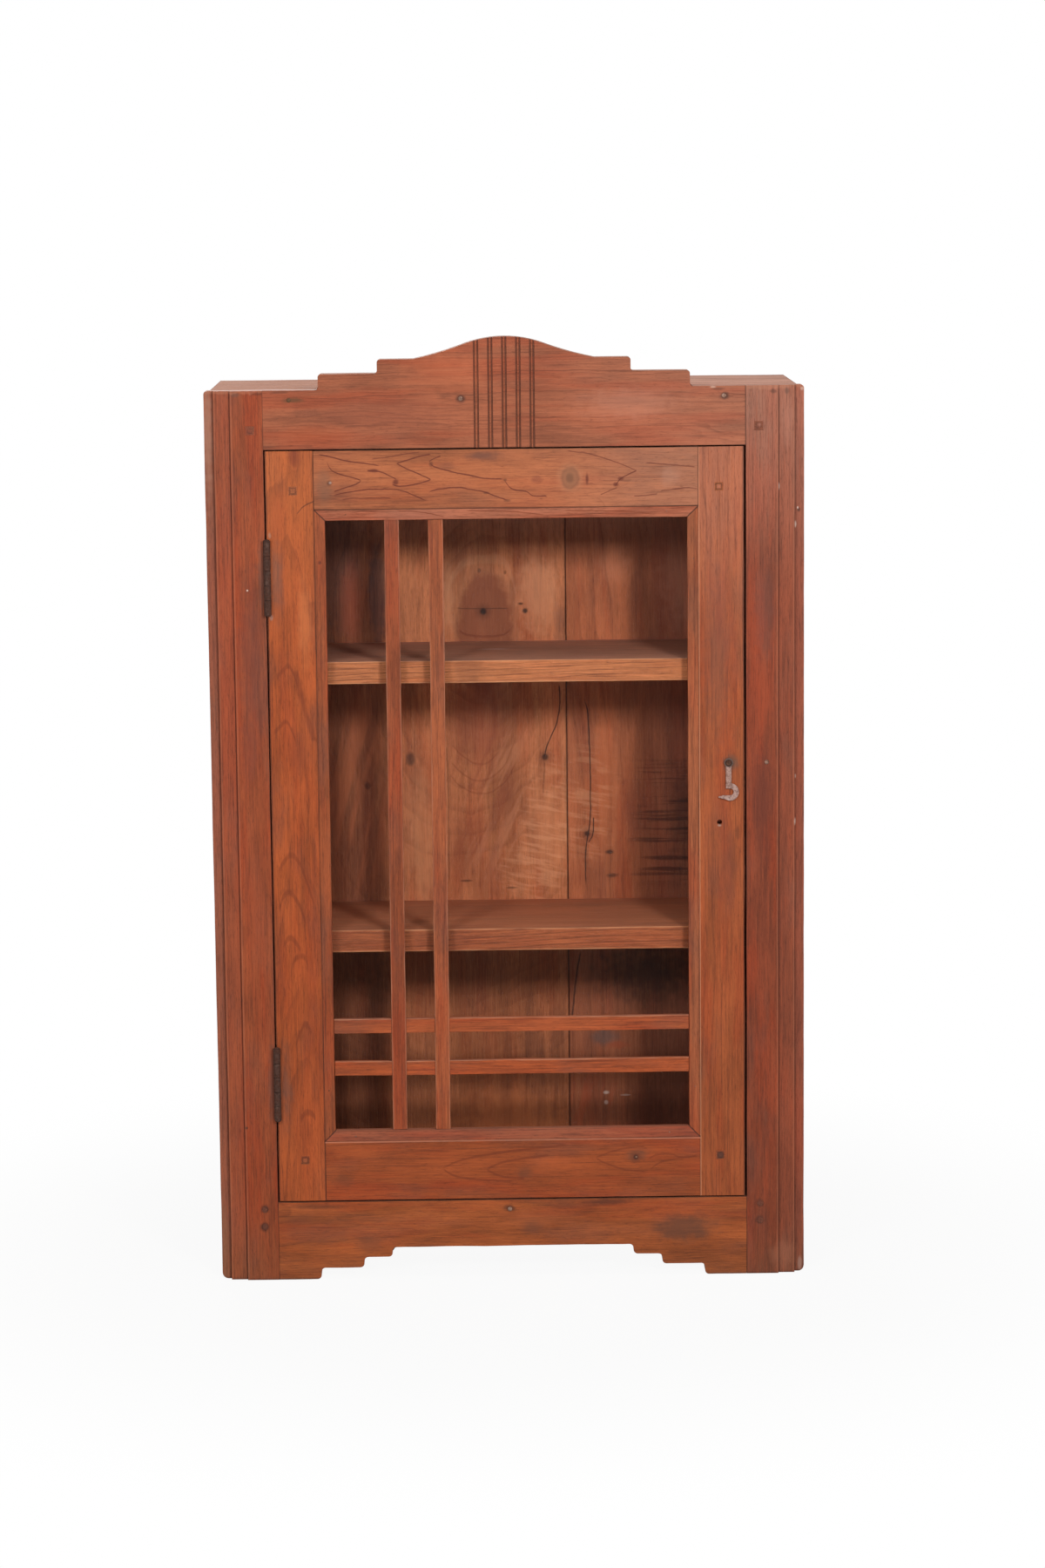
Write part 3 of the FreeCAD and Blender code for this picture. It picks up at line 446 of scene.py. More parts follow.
    def age(self):  # worn arrises, arrises darkened with grime and painted shade, and dust with painted sheen on what faces up
        look = self.look
        rub = self.noises["rub"]
        halfAcross = self.half[self.acrossAxis]
        faceGap = self.depth - abs(self.through)
        for sideGap, finish in zip((self.across + halfAcross, halfAcross - self.across), look["sides"]):
            if finish == "wear":
                gap = sideGap.most(faceGap) + (rub - mid) * wearSway
                arris = gap.ease(look["wearWidth"], 0.0) * look["wear"]
                self.cover(look["paleTone"], arris)
                self.worn = arris + self.worn
            # a dark arris beside a gap: grime, and painted shade where the gap shades it
            elif finish == "shadeAndGrime":
                edge = (sideGap + self.ragged * rag["edge"]).ease(look["shadeAndGrimeWidth"], shadeAndGrimeCore)
                self.cover(look["grimeAndShadeTone"], edge * look["shadeAndGrime"])
        if "mitre" in look:  # dirt in the corner joints of a bead; 1 where the outer edge is the high one
            outer = halfAcross - self.across * look["mitre"]
            gap = self.half[self.alongAxis] - abs(self.along) - outer + self.ragged
            self.cover(look["grimeAndShadeTone"], gap.ease(*mitreGap) * mitreShare)
        facing = self.paint.axes(self.paint.add("TexCoord", output="Normal"))[2] / perMetre
        # pale on what faces up: dust, and on the shelves and the top painted sheen
        self.dustAndSheenShare = facing.ease(*upFacing) * (leastDustAndSheen + rub * (1 - leastDustAndSheen)) * look["dustAndSheen"]
        self.cover(look["dustAndSheenTone"], self.dustAndSheenShare)
        if "topWear" in look:  # a pale, rubbed band along the upper end
            height, share = look["topWear"]
            lift = self.parts[2] - self.high[2] + height + (rub - mid) * topSway + self.ragged * topRag
            self.cover(look["paleTone"], lift.ease(*topRim) * share)

    def material(self):
        self.grow()
        plain = self.colour
        self.figure()
        self.blemish()
        if "inside" in self.look:
            self.colour = self.paint.blend(plain, self.colour, self.inside)
        self.age()
        fibre = self.noises["fibre"]
        pits = self.shown("pore")
        rough = self.look["roughness"] + (fibre - mid) * roughMix["fibre"] + pits * roughMix["pits"]
        rough = rough + self.dustAndSheenShare * roughMix["dustAndSheen"] + self.worn * roughMix["wear"]
        height = fibre * heightMix["fibre"] + self.line * heightMix["line"] - pits * heightMix["pits"]
        height = height + self.noises["mottle"] * heightMix["mottle"]
        strength, tall = grainBump
        return self.paint.finish({"Base Color": self.colour, "Roughness": rough,
                                  "Specular IOR Level": self.look["specular"],
                                  "Normal": self.paint.bump(height, strength, tall * mm)})


def cadForm(node):  # a merged copy of a node's triangles
    form = bmesh.new()
    form.from_mesh(frame["nodes"][node].data)
    bmesh.ops.remove_doubles(form, verts=form.verts, dist=weldGap)
    bmesh.ops.dissolve_limit(form, angle_limit=flatAngle, verts=form.verts, edges=form.edges)
    return form


def pickArrises(form, shortest, convexOnly=True):
    picked = []
    for edge in form.edges:
        if len(edge.link_faces) != 2 or edge.calc_length() < shortest * mm:
            continue
        if edge.calc_face_angle(0.0) > arrisAngle and (edge.is_convex or not convexOnly):
            picked.append(edge)
    return picked


def bevelEdges(form, edges, width, segments):
    bmesh.ops.bevel(form, geom=edges, offset=width * mm, offset_type="OFFSET", segments=segments,
                    profile=0.5, affect="EDGES", clamp_overlap=True, material=-1)


cornerShape = {"shortest": 6, "segments": 4, "square": 0.99}  # square edges run to the back


def roundCorners(form, radius, nearest, farthest, lowest, highest):  # sawn or rubbed corners
    def runsThrough(edge):
        spot = edge.verts[0].co / mm
        run = edge.verts[1].co / mm - spot
        level = abs(run.y) > cornerShape["square"] * run.length
        return level and nearest < abs(spot.x) < farthest and lowest < spot.z < highest
    picked = [edge for edge in pickArrises(form, cornerShape["shortest"], False) if runsThrough(edge)]
    bevelEdges(form, picked, radius, cornerShape["segments"])


def cutAlong(form, axis, step):  # loops across the grain, for the wander to bend
    places = [vert.co[axis] for vert in form.verts]
    count = int((max(places) - min(places)) / (step * mm))
    normal = [0, 0, 0]
    normal[axis] = 1
    for i in range(1, count):
        spot = [0, 0, 0]
        spot[axis] = min(places) + (max(places) - min(places)) * i / count
        everything = form.verts[:] + form.edges[:] + form.faces[:]
        bmesh.ops.bisect_plane(form, geom=everything, dist=weldGap, plane_co=spot, plane_no=normal)


wanderSteps = (3.1, 1.7, 2.3)  # moves each seed's wander to its own place
quickWander = {"size": 0.3, "share": 0.45}  # of the slow one's


def wander(form, far, size, seed):  # hand-planed boards are never quite straight
    shift = Vector([seed * step for step in wanderSteps])
    for vert in form.verts:
        slow = noise.noise_vector(vert.co / (size * mm) + shift)
        quick = noise.noise_vector(vert.co / (size * quickWander["size"] * mm) + shift)
        for axis in range(3):
            vert.co[axis] += (slow[axis] + quick[axis] * quickWander["share"]) * far[axis] * mm


def place(form, name, node, material, standsFor=True):
    mesh = bpy.data.meshes.new(name)
    form.to_mesh(mesh)
    form.free()
    mesh.shade_smooth()
    mesh.set_sharp_from_angle(angle=sharpAngle)
    piece = bpy.data.objects.new(name, mesh)
    bpy.context.scene.collection.objects.link(piece)
    mesh.materials.append(material)
    weighted = piece.modifiers.new("flat_faces", "WEIGHTED_NORMAL")
    weighted.keep_sharp = True
    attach(piece, bodyOf[node])
    if standsFor:
        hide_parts(node)


boardShape = {  # how a sawn board is worn; sizes in mm
    "step": 14,  # between loops along the grain
    "far": (0.30, 0.0, 0.30),
    "size": 70,
    "soften": 0.6,
    "shortest": 3.0,
    "segments": 2,
    "corners": (),  # radius, then between which x and which z
}


def wornBoard(look):
    form = cadForm(look["node"])
    for corner in look["corners"]:
        roundCorners(form, *corner)
    if "widen" in look:  # a door edge that has swollen into its gap
        side, amount = look["widen"]
        outside = max(vert.co.x * side for vert in form.verts)
        for vert in form.verts:
            if vert.co.x * side > outside - weldGap:
                vert.co.x += side * amount * mm
    for edge in pickArrises(form, look["shortest"]):
        edge.seam = True
    if look["step"]:
        cutAlong(form, grainAxes[look["grain"]][0], look["step"])
        wander(form, look["far"], look["size"], look["seed"])
    bevelEdges(form, [edge for edge in form.edges if edge.seam], look["soften"], look["segments"])
    for edge in form.edges:
        edge.seam = False
    place(form, look["name"], look["node"], Teak(look).material())


def drawn(width, tint, share, *runs):  # lines of one kind, each run x, z, x, z and so on
    return tuple((tuple(zip(run[::2], run[1::2])), width, tint, share) for run in runs)


board = {**teakLook, **boardShape}
dirt = (52, 34, 29)
# a dark tone for soot, used where soot and painted shade lie together
sootAndShade = (40, 31, 28)
jointDirtAndShade = (46, 28, 23)
creaseShadeAndDirt = (64, 33, 25)
deepRed = (112, 48, 32)
ashBrown = (96, 70, 60)
rubbed = (184, 116, 86)
chalk = (222, 196, 180)
sheenAndDust = (194, 142, 118)  # painted sheen with dry dust, toward the top right
footGrime = (2, 3, 0, dirt, 0.6)  # a fade
paintedLightUnderTop = (2, 735, 800, (218, 152, 124), 0.58)  # a fade: painted light, paler colour where the top shades the back boards
railJoints = ((0, -194.8, 0.8, jointDirtAndShade, 0.75), (0, 196.5, 0.8, jointDirtAndShade, 0.75))


def stepCreases(side):  # painted shade and dirt in the two steps of an upright, and the rubbed arris beside each
    return ((0, side * 278.7, 1.0, creaseShadeAndDirt, 0.5), (0, side * 295.6, 0.9, creaseShadeAndDirt, 0.45),
            (0, side * 276.9, 0.9, rubbed, 0.28), (0, side * 294.1, 0.8, rubbed, 0.28))


stile = dict(
    board, fine=0.7, contrast=0.26, heart=(120, 18), lean=(0.02, 0.015), ringGap=3.6, veins=0.22,
    bands=0.1, soften=0.4, smoke=0.5, ember=0.55, topWear=(2.5, 0.22), dustAndSheen=0.4, shadeAndGrimeWidth=0.5,
    corners=((3.6, 290, 310, 500, 990), (6.5, 290, 310, -1, 500)))
leftUpright = dict(
    stile, name="left_upright", node="case_stile_left", seed=3, tone=(146, 71, 40),
    sides=("wear", "shadeAndGrime"), seams=stepCreases(-1),
    fades=(
        (0, -277.8, -278.4, (164, 86, 60), 0.3), (0, -294.8, -296.0, (138, 90, 72), 0.5),
        (2, 70, 6, (118, 76, 48), 0.4), footGrime),
    patches=(
        (-262, 650, 17, 140, (114, 61, 48), 0.48), (-301, 880, 7, 90, (168, 122, 100), 0.55),
        (-302, 40, 6, 60, (142, 98, 70), 0.4), (-248, 740, 7, 50, ashBrown, 0.5),
        (-248, 212, 7, 54, ashBrown, 0.5), (-262, 400, 15, 90, (150, 72, 46), 0.3),
        (-266, 560, 14, 60, (126, 62, 44), 0.35)),
    marks=(
        (-263.9, 725.2, 1.3, 1.3, chalk, 0.8), (-276.4, 163.3, 2.2, 2.2, dirt, 0.9),
        (-259, 76, 6.5, 6.5, dirt, 0.75), (-259.5, 57, 6.5, 6.5, dirt, 0.8),
        (-272, 924, 8, 3, ashBrown, 0.5), (-250, 925, 9, 2.4, dirt, 0.4)))
rightUpright = dict(
    stile, name="right_upright", node="case_stile_right", seed=8, tone=(130, 62, 38),
    sides=("shadeAndGrime", "wear"), seams=stepCreases(1),
    fades=(
        # the first fade is painted sheen and dust toward the top
        (2, 690, 930, sheenAndDust, 0.36), (0, 278.0, 278.6, (158, 90, 66), 0.22),
        (0, 295.0, 295.8, (166, 94, 74), 0.24), (2, 60, 6, (112, 74, 50), 0.35), footGrime),
    patches=(
        (262, 500, 16, 90, (99, 47, 35), 0.52), (264, 700, 16, 70, (112, 70, 60), 0.4),
        (262, 610, 15, 46, (160, 70, 40), 0.35), (287, 895, 9, 36, (180, 128, 108), 0.2),
        (282, 20, 20, 22, (168, 108, 82), 0.3)),
    marks=(
        (265.7, 541.8, 3.6, 3.6, dirt, 0.4), (299.6, 801, 2.4, 3.6, dirt, 0.7),
        (279, 825, 1.0, 5, chalk, 0.75), (296, 786, 1.5, 4.5, chalk, 0.8),
        (298.5, 803, 1.2, 2, chalk, 0.7), (295.5, 479, 1.4, 5, chalk, 0.6),
        (296, 526, 1.0, 3, chalk, 0.5), (301, 8, 3, 10, chalk, 0.18), (259, 76, 6, 6, dirt, 0.55),
        (258.5, 58, 6.5, 6.5, dirt, 0.65), (273, 922, 5, 3, dirt, 0.5), (303, 924, 2.4, 2.4, chalk, 0.4),
        (287, 922, 3, 5, ashBrown, 0.6)))
for look in (leftUpright, rightUpright):
    wornBoard(look)
print("uprights worn")

crestRail = dict(
    board, name="crest_rail", node="top_rail", grain="level", seed=12, tone=(151, 85, 57), fibre=0.32,
    fine=0.5, contrast=0.28, smoke=0.25, heart=(-70, 60), lean=(0.03, 0.03), ringGap=2.6,
    sway=(7.0, 120, 26), ripple=(1.2, 30, 8), line=(0.5, 0.85), veins=0.36, bands=0.12,
    corners=((3.0, 40, 240, 900, 990),), sides=("shadeAndGrime", "plain"),
    seams=((0, -245, 0.8, jointDirtAndShade, 0.35), (0, 245, 1.0, jointDirtAndShade, 0.8)), dustAndSheen=0.4,
    hollows=(33, 0.4, 1.4, (70, 42, 34), 0.62),
    patches=(
        # (130, 912) is painted sheen and dust, as near the top right of the door
        (-130, 904, 95, 24, (124, 66, 48), 0.38), (130, 912, 70, 22, (192, 128, 104), 0.28),
        (-60, 944, 60, 34, (206, 112, 72), 0.26), (-190, 884, 50, 12, (166, 78, 44), 0.35),
        (-214, 918, 14, 4, (88, 62, 38), 0.7), (-44, 918, 6.5, 6, dirt, 0.7, 0.3),
        (223.5, 918, 7, 5, dirt, 0.75, 0.3)),
    marks=(
        (-200, 905, 24, 5, dirt, 0.25), (212, 927, 4, 1.4, chalk, 0.4), (217, 925, 9, 2, dirt, 0.45),
        (-228, 926, 14, 2, dirt, 0.45), (-60, 921, 10, 3, dirt, 0.3)),
    # painted sheen and dust toward the right
    fades=((0, 20, 240, sheenAndDust, 0.14),))
apron = dict(
    board, name="stepped_apron", node="apron", grain="level", seed=17, tone=(156, 81, 41), fibre=0.38,
    fine=0.5, contrast=0.3, heart=(40, 70), lean=(0.02, 0.03), veins=0.3, bands=0.08,
    corners=((4.2, 0, 240, -1, 90),), far=(0.45, 0.0, 0.55), size=45, sides=("plain", "shadeAndGrime"),
    seams=((0, -245, 0.8, jointDirtAndShade, 0.5), (0, 245, 0.9, jointDirtAndShade, 0.7)),
    fades=((2, 34, 2, (112, 70, 42), 0.34), footGrime),
    patches=(
        (180, 50, 44, 22, (88, 58, 45), 0.72), (-200, 45, 40, 14, (104, 66, 50), 0.25),
        (30, 62, 60, 14, (178, 98, 60), 0.3), (20, 52, 16, 12, (96, 60, 46), 0.45),
        (-3, 73.5, 8, 5.5, dirt, 0.75, 0.3), (-150, 38, 20, 14, (100, 62, 46), 0.4)),
    marks=((99, 79, 36, 4, dirt, 0.5), (-205, 78, 34, 4, dirt, 0.45)))
for look in (crestRail, apron):
    wornBoard(look)
print("crest and apron worn")

side = dict(
    board, grain="side", heart=(30, 90), lean=(0.02, 0.05), ringGap=6.0, veins=0.36, sway=(14.0, 240, 60),
    tone=(150, 76, 47), step=30, smoke=0.4, fibre=0.45, fades=((2, 40, 0, (92, 58, 46), 0.4),))
leftSide = dict(
    side, name="left_side", node="side_panel_left", seed=21, knots=((40, 610, 6, 18, 0.7),),
    marks=((-30, 300, 12, 20, dirt, 0.3), (60, 780, 8, 26, dirt, 0.25)))
rightSide = dict(
    side, name="right_side", node="side_panel_right", seed=24, knots=((-10, 360, 7, 20, 0.7),),
    marks=((50, 700, 10, 24, dirt, 0.3), (-40, 180, 14, 18, dirt, 0.25)))
# the top's pale tone, paler at the right, is dust and painted sheen
topDustAndSheen = dict(
    board, name="top_dust_and_sheen", node="top_board", grain="shelf", seed=27, tone=(215, 163, 143),
    specular=0.05, ember=0.15, smoke=0.3, veins=0.35, fibre=0.5, roughness=0.68, step=30,
    fades=(
        (0, -100, -230, (178, 104, 58), 0.85), (0, -297, -298.6, (132, 72, 46), 0.8),
        (0, 297, 298.6, (132, 72, 46), 0.8)),
    patches=((-120, 20, 90, 40, (150, 100, 80), 0.35), (160, 30, 80, 50, (236, 190, 166), 0.25, 0.1)))
floorBoard = dict(
    board, name="floor_board", node="bottom_board", grain="shelf", seed=29, step=30, tone=(134, 80, 58))
for look in (leftSide, rightSide, topDustAndSheen, floorBoard):
    wornBoard(look)
print("sides, top and floor worn")

backBoard = dict(
    board, inside=98, ember=0.4, smoke=0.35, bands=0.08, line=(0.35, 0.88), step=40, far=(0.2, 0.1, 0.2),
    wear=0.1, dustAndSheen=0.1, fibre=0.26, fine=0.7, paleTone=(232, 164, 120))
wideBack = dict(
    backBoard, name="wide_back_board", node="back_board_left", seed=33, tone=(190, 115, 75),
    heart=(67.5, 108), lean=(0.097, -0.6), ringGap=8.0, sway=(13.0, 120, 70), ripple=(2.2, 60, 30),
    veins=0.15, sides=("plain", "shadeAndGrime"), shadeAndGrimeWidth=1.6,
    knots=((-23.0, 680, 5.0, 5, 0.95), (41.6, 522, 5.0, 14, 0.8)),
    # the first two fades are painted shade: darker toward the left edge, where the door frame shades the
    # back, and in the lower compartment; the third is painted light under the top
    fades=((0, -118, -150, (110, 60, 50), 0.42), (2, 340, 300, (140, 76, 48), 0.4), paintedLightUnderTop),
    patches=(
        (-22, 664, 52, 84, (222, 158, 116), 0.24, 0.4), (-22, 658, 34, 74, (122, 57, 38), 0.66, 0.76),
        # painted shade: these two dark patches stand where the door frame and the first bar shade the upper
        # left of the back
        (-186, 735, 44, 110, (60, 60, 70), 0.36, 0.3), (-136, 700, 13, 80, (56, 58, 68), 0.5, 0.4),
        (36, 700, 28, 58, (226, 158, 116), 0.38, 0.3), (-60, 696, 9, 50, (226, 158, 116), 0.35, 0.3),
        (-28, 565, 52, 66, (142, 72, 52), 0.45, 0.3), (-45, 425, 34, 50, (144, 78, 54), 0.35),
        (0, 470, 20, 60, (150, 80, 54), 0.3), (46, 445, 26, 80, (226, 150, 102), 0.4),
        # (-165, 690) is painted light: the lit streak between two shadows on the upper left
        (-92, 440, 16, 110, (210, 142, 98), 0.35, 0.3), (-165, 690, 14, 56, (190, 98, 70), 0.5, 0.3),
        # (0, 124) is painted light on the lit lower part of the lower compartment; (-140, 250) is painted
        # shade on its left
        (58, 668, 8, 34, (72, 52, 50), 0.4), (0, 124, 84, 54, (214, 124, 76), 0.55),
        (-140, 250, 24, 90, (70, 40, 34), 0.35)),
    slants=(
        (-160, 480, 40, 140, 0.22, 15, 170, (206, 116, 76), 0.5),
        (-10, 480, 62, 120, 0.45, 15, 110, (222, 148, 108), 0.32),
        (-30, 470, 60, 110, 0.45, 11, 90, (128, 62, 46), 0.32),
        (30, 180, 60, 120, 0.05, 12, 120, (98, 56, 40), 0.4)),
    flecks=((44, 440, 40, 100, 0.34), (20, 398, 40, 36, 0.34)),
    lines=drawn(1.0, dirt, 0.9, (57, 601, 58, 586, 56, 566, 48, 544, 42, 528, 41, 521))
    + drawn(0.8, dirt, 0.5,
        (41, 517, 40, 500, 39, 482), (-64, 533, -63, 472, -63, 386), (-52, 684, -30, 683, 4, 683))
    + drawn(8.0, (226, 166, 124), 0.15, (-63, 691, -54, 719, -32, 736, -9, 736, 8, 716, 13, 684))
    + drawn(2.0, deepRed, 0.45, (-50, 661, -40, 655, -22, 653, -6, 654, 6, 660))
    + drawn(1.8, deepRed, 0.3,
        (-60, 518, -46, 504, -29, 497, -9, 506, 6, 532, 12, 552),
        (-61, 504, -46, 489, -26, 483, -6, 492, 11, 517), (-58, 536, -44, 522, -28, 515, -8, 528)),
    marks=(
        (21.7, 680.3, 4.2, 4.2, dirt, 0.9), (17.1, 687.8, 4, 2, dirt, 0.8),
        (-27, 724, 2.6, 3.4, dirt, 0.5), (0.7, 721.6, 2.2, 3, dirt, 0.5),
        (-103.4, 522, 7, 10, dirt, 0.65), (-149, 493, 5, 6, dirt, 0.5), (-44.3, 388, 9, 1.6, dirt, 0.6),
        (4.5, 379.8, 9, 1.6, dirt, 0.55)))
narrowBack = dict(
    backBoard, name="narrow_back_board", node="back_board_right", seed=38, tone=(176, 100, 64),
    heart=(-160, 40), lean=(0.01, 0.12), ringGap=6.0, sway=(14.0, 180, 70), veins=0.2,
    sides=("shadeAndGrime", "plain"), shadeAndGrimeWidth=1.2, knots=((86, 438, 4.2, 9, 0.8),),
    # the first two fades are painted shade: darker toward the right edge, where the door frame shades the
    # back, and in the lower compartment; the third is painted light under the top
    fades=((0, 125, 165, (124, 76, 66), 0.42), (2, 340, 300, (116, 68, 52), 0.42), paintedLightUnderTop),
    patches=(
        # (192, 720) is painted light, lightening the shaded upper right
        (118, 730, 28, 30, (200, 126, 92), 0.35), (192, 720, 38, 90, (206, 138, 112), 0.24, 0.3),
        # (192, 455) and (150, 284) are soot with painted shade on the shaded right side; (150, 130) is
        # painted shade there
        (105, 500, 30, 100, (204, 116, 72), 0.35), (192, 455, 24, 80, sootAndShade, 0.55),
        (150, 284, 78, 50, (38, 32, 30), 0.62, 0.1), (104, 214, 20, 13, (84, 78, 76), 0.55, 0.3),
        (118, 205, 17, 6, (158, 74, 46), 0.6, 0.3), (150, 130, 50, 46, (84, 40, 32), 0.45)),
    slants=((90, 130, 40, 60, 0.2, 9, 60, (176, 84, 54), 0.45),), flecks=((90, 470, 34, 90, 0.25),),
    stains=(128, 178, 372, 528, (46, 31, 27), 0.64),
    lines=drawn(1.0, dirt, 0.9,
        (84, 585, 88, 565, 89, 539, 90, 505, 90, 470, 89, 450, 86, 430, 84, 401, 84, 381),
        (93, 456, 93, 444, 88, 428))
    + drawn(1.4, dirt, 0.75, (78, 309, 72, 273, 69, 243, 66, 222)),
    marks=(
        (110, 417.6, 7, 3.4, dirt, 0.8), (113, 392, 9, 3.6, dirt, 0.65),
        (104.6, 152, 4.5, 2.6, chalk, 0.6), (104.5, 141, 3, 3, chalk, 0.4),
        (126, 149, 8, 1.4, chalk, 0.3)))
for look in (wideBack, narrowBack):
    wornBoard(look)
looseTongue = dict(
    board, name="joint_tongue", node="back_board_left", seed=39, tone=(60, 38, 32), width=7.0,
    thickness=3.5, length=0.995, soften=0.4)


def tongue(look):  # keeps light out of the joint between the back boards
    low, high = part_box(look["node"])
    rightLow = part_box("back_board_right")[0]
    size = (look["width"] * mm, look["thickness"] * mm, (high.z - low.z) * look["length"])
    form = bmesh.new()
    bmesh.ops.create_cube(form, size=1.0)
    bmesh.ops.scale(form, vec=size, verts=form.verts)
    spot = Vector(((high.x + rightLow.x) / 2, (low.y + high.y) / 2, (low.z + high.z) / 2))
    bmesh.ops.translate(form, vec=spot, verts=form.verts)
    bevelEdges(form, form.edges[:], look["soften"], look["segments"])
    place(form, look["name"], look["node"], Teak(look).material(), False)


tongue(looseTongue)
# the shelves' grey dust tones also paint the glossy reflection on the shelf tops
shelf = dict(
    board, grain="shelf", bands=0.3, fibre=0.46, fine=0.6, heart=(-70, 45), lean=(0.01, 0.03),
    ringGap=2.8, veins=0.5, step=20, wear=0.5, wearWidth=1.8, paleTone=(222, 156, 112), dustAndSheen=0.6,
    dustAndSheenTone=(152, 116, 100))
highShelf = dict(
    shelf, name="high_shelf", node="shelf_upper", seed=41, tone=(188, 114, 73), dustAndSheenTone=(172, 134, 120),
    fades=((1, -72.5, -73.6, (214, 132, 80), 0.32),),
    marks=((-11.7, 21.5, 22, 7, chalk, 0.5), (-40, -74, 20, 10, dirt, 0.3)))
lowShelf = dict(
    shelf, name="low_shelf", node="shelf_lower", seed=44, tone=(172, 96, 58), dustAndSheenTone=(184, 122, 92),
    fades=((1, -72.5, -73.6, (150, 76, 44), 0.4),))
for look in (highShelf, lowShelf):
    wornBoard(look)
print("back boards and shelves worn")

softVein = (112, 50, 28)
flameVein = (96, 42, 30)
doorBoard = dict(board, soften=0.4, shadeAndGrimeWidth=0.5, bands=0.08)
hingeStile = dict(
    doorBoard, name="hinge_stile", node="door_stile_left", seed=47, tone=(162, 78, 37), fine=0.7,
    heart=(0, 42), lean=(0.0, 0.075), ringGap=4.6, sway=(7.0, 130, 26), veins=0.24,
    sides=("shadeAndGrime", "plain"), ember=0.35, fibre=0.42, contrast=0.28,
    seams=((0, -195.2, 0.8, jointDirtAndShade, 0.5),), widen=(-1, 0.6),
    fades=((2, 640, 860, (198, 108, 58), 0.55), (2, 300, 150, (176, 88, 46), 0.35)),
    patches=(
        (-214, 862, 9, 19, deepRed, 0.65, 0.3), (-232, 800, 9, 44, (168, 82, 44), 0.45),
        (-206, 690, 10, 60, (208, 122, 72), 0.35), (-234, 738, 11, 56, (98, 78, 68), 0.5, 0.0),
        (-234, 208, 10, 58, (98, 74, 64), 0.45, 0.0), (-215, 560, 16, 34, (126, 60, 36), 0.35)),
    lines=drawn(4.0, softVein, 0.5,
        (-236, 635, -229, 643, -224, 647, -219, 640, -214, 625),
        (-240, 578, -232, 586, -228, 590, -222, 582, -217, 568), (-217, 644, -209, 609, -198, 568))
    + drawn(5.0, softVein, 0.5,
        (-238, 433, -230, 447, -225, 451, -219, 447, -209, 423, -201, 397),
        (-238, 394, -232, 409, -228, 412, -220, 404, -210, 378),
        (-234, 356, -227, 364, -222, 360, -216, 349), (-226, 333, -220, 344, -215, 345, -209, 336),
        (-224, 249, -218, 265, -213, 273, -207, 262), (-220, 171, -212, 179, -204, 173))
    + drawn(1.2, dirt, 0.6, (-212, 803, -204, 811, -193, 816)),
    marks=((-240, 781, 2.0, 4.0, (170, 140, 120), 0.4), (-240, 697, 2.4, 4, (150, 130, 120), 0.5)))
hookStile = dict(
    doorBoard, name="hook_stile", node="door_stile_right", seed=52, tone=(157, 81, 44), fine=0.7,
    fibre=0.38, heart=(-70, 20), lean=(0.01, 0.02), ringGap=4.4, sway=(12.0, 220, 30), veins=0.28,
    # the pale seam at x 197 is a painted highlight along the bead's outer edge
    sides=("plain", "shadeAndGrime"), smoke=0.4, seams=((0, 197.0, 0.8, (222, 156, 118), 0.4),), widen=(1, 0.8),
    patches=(
        (229, 542, 11, 13, (96, 74, 60), 0.7), (222, 430, 22, 80, (116, 62, 44), 0.35),
        (210, 500, 16, 30, (170, 86, 48), 0.2), (216, 660, 22, 130, (116, 74, 62), 0.36)),
    # the first mark is a painted highlight: the lit lower lip of the spare hole
    marks=((217.3, 476.6, 2.6, 1.5, (176, 146, 130), 0.65), (236, 468, 4, 10, dirt, 0.35)),
    # painted sheen and dust toward the top, as in the other top-right fades
    fades=((2, 640, 860, (194, 126, 100), 0.42),))
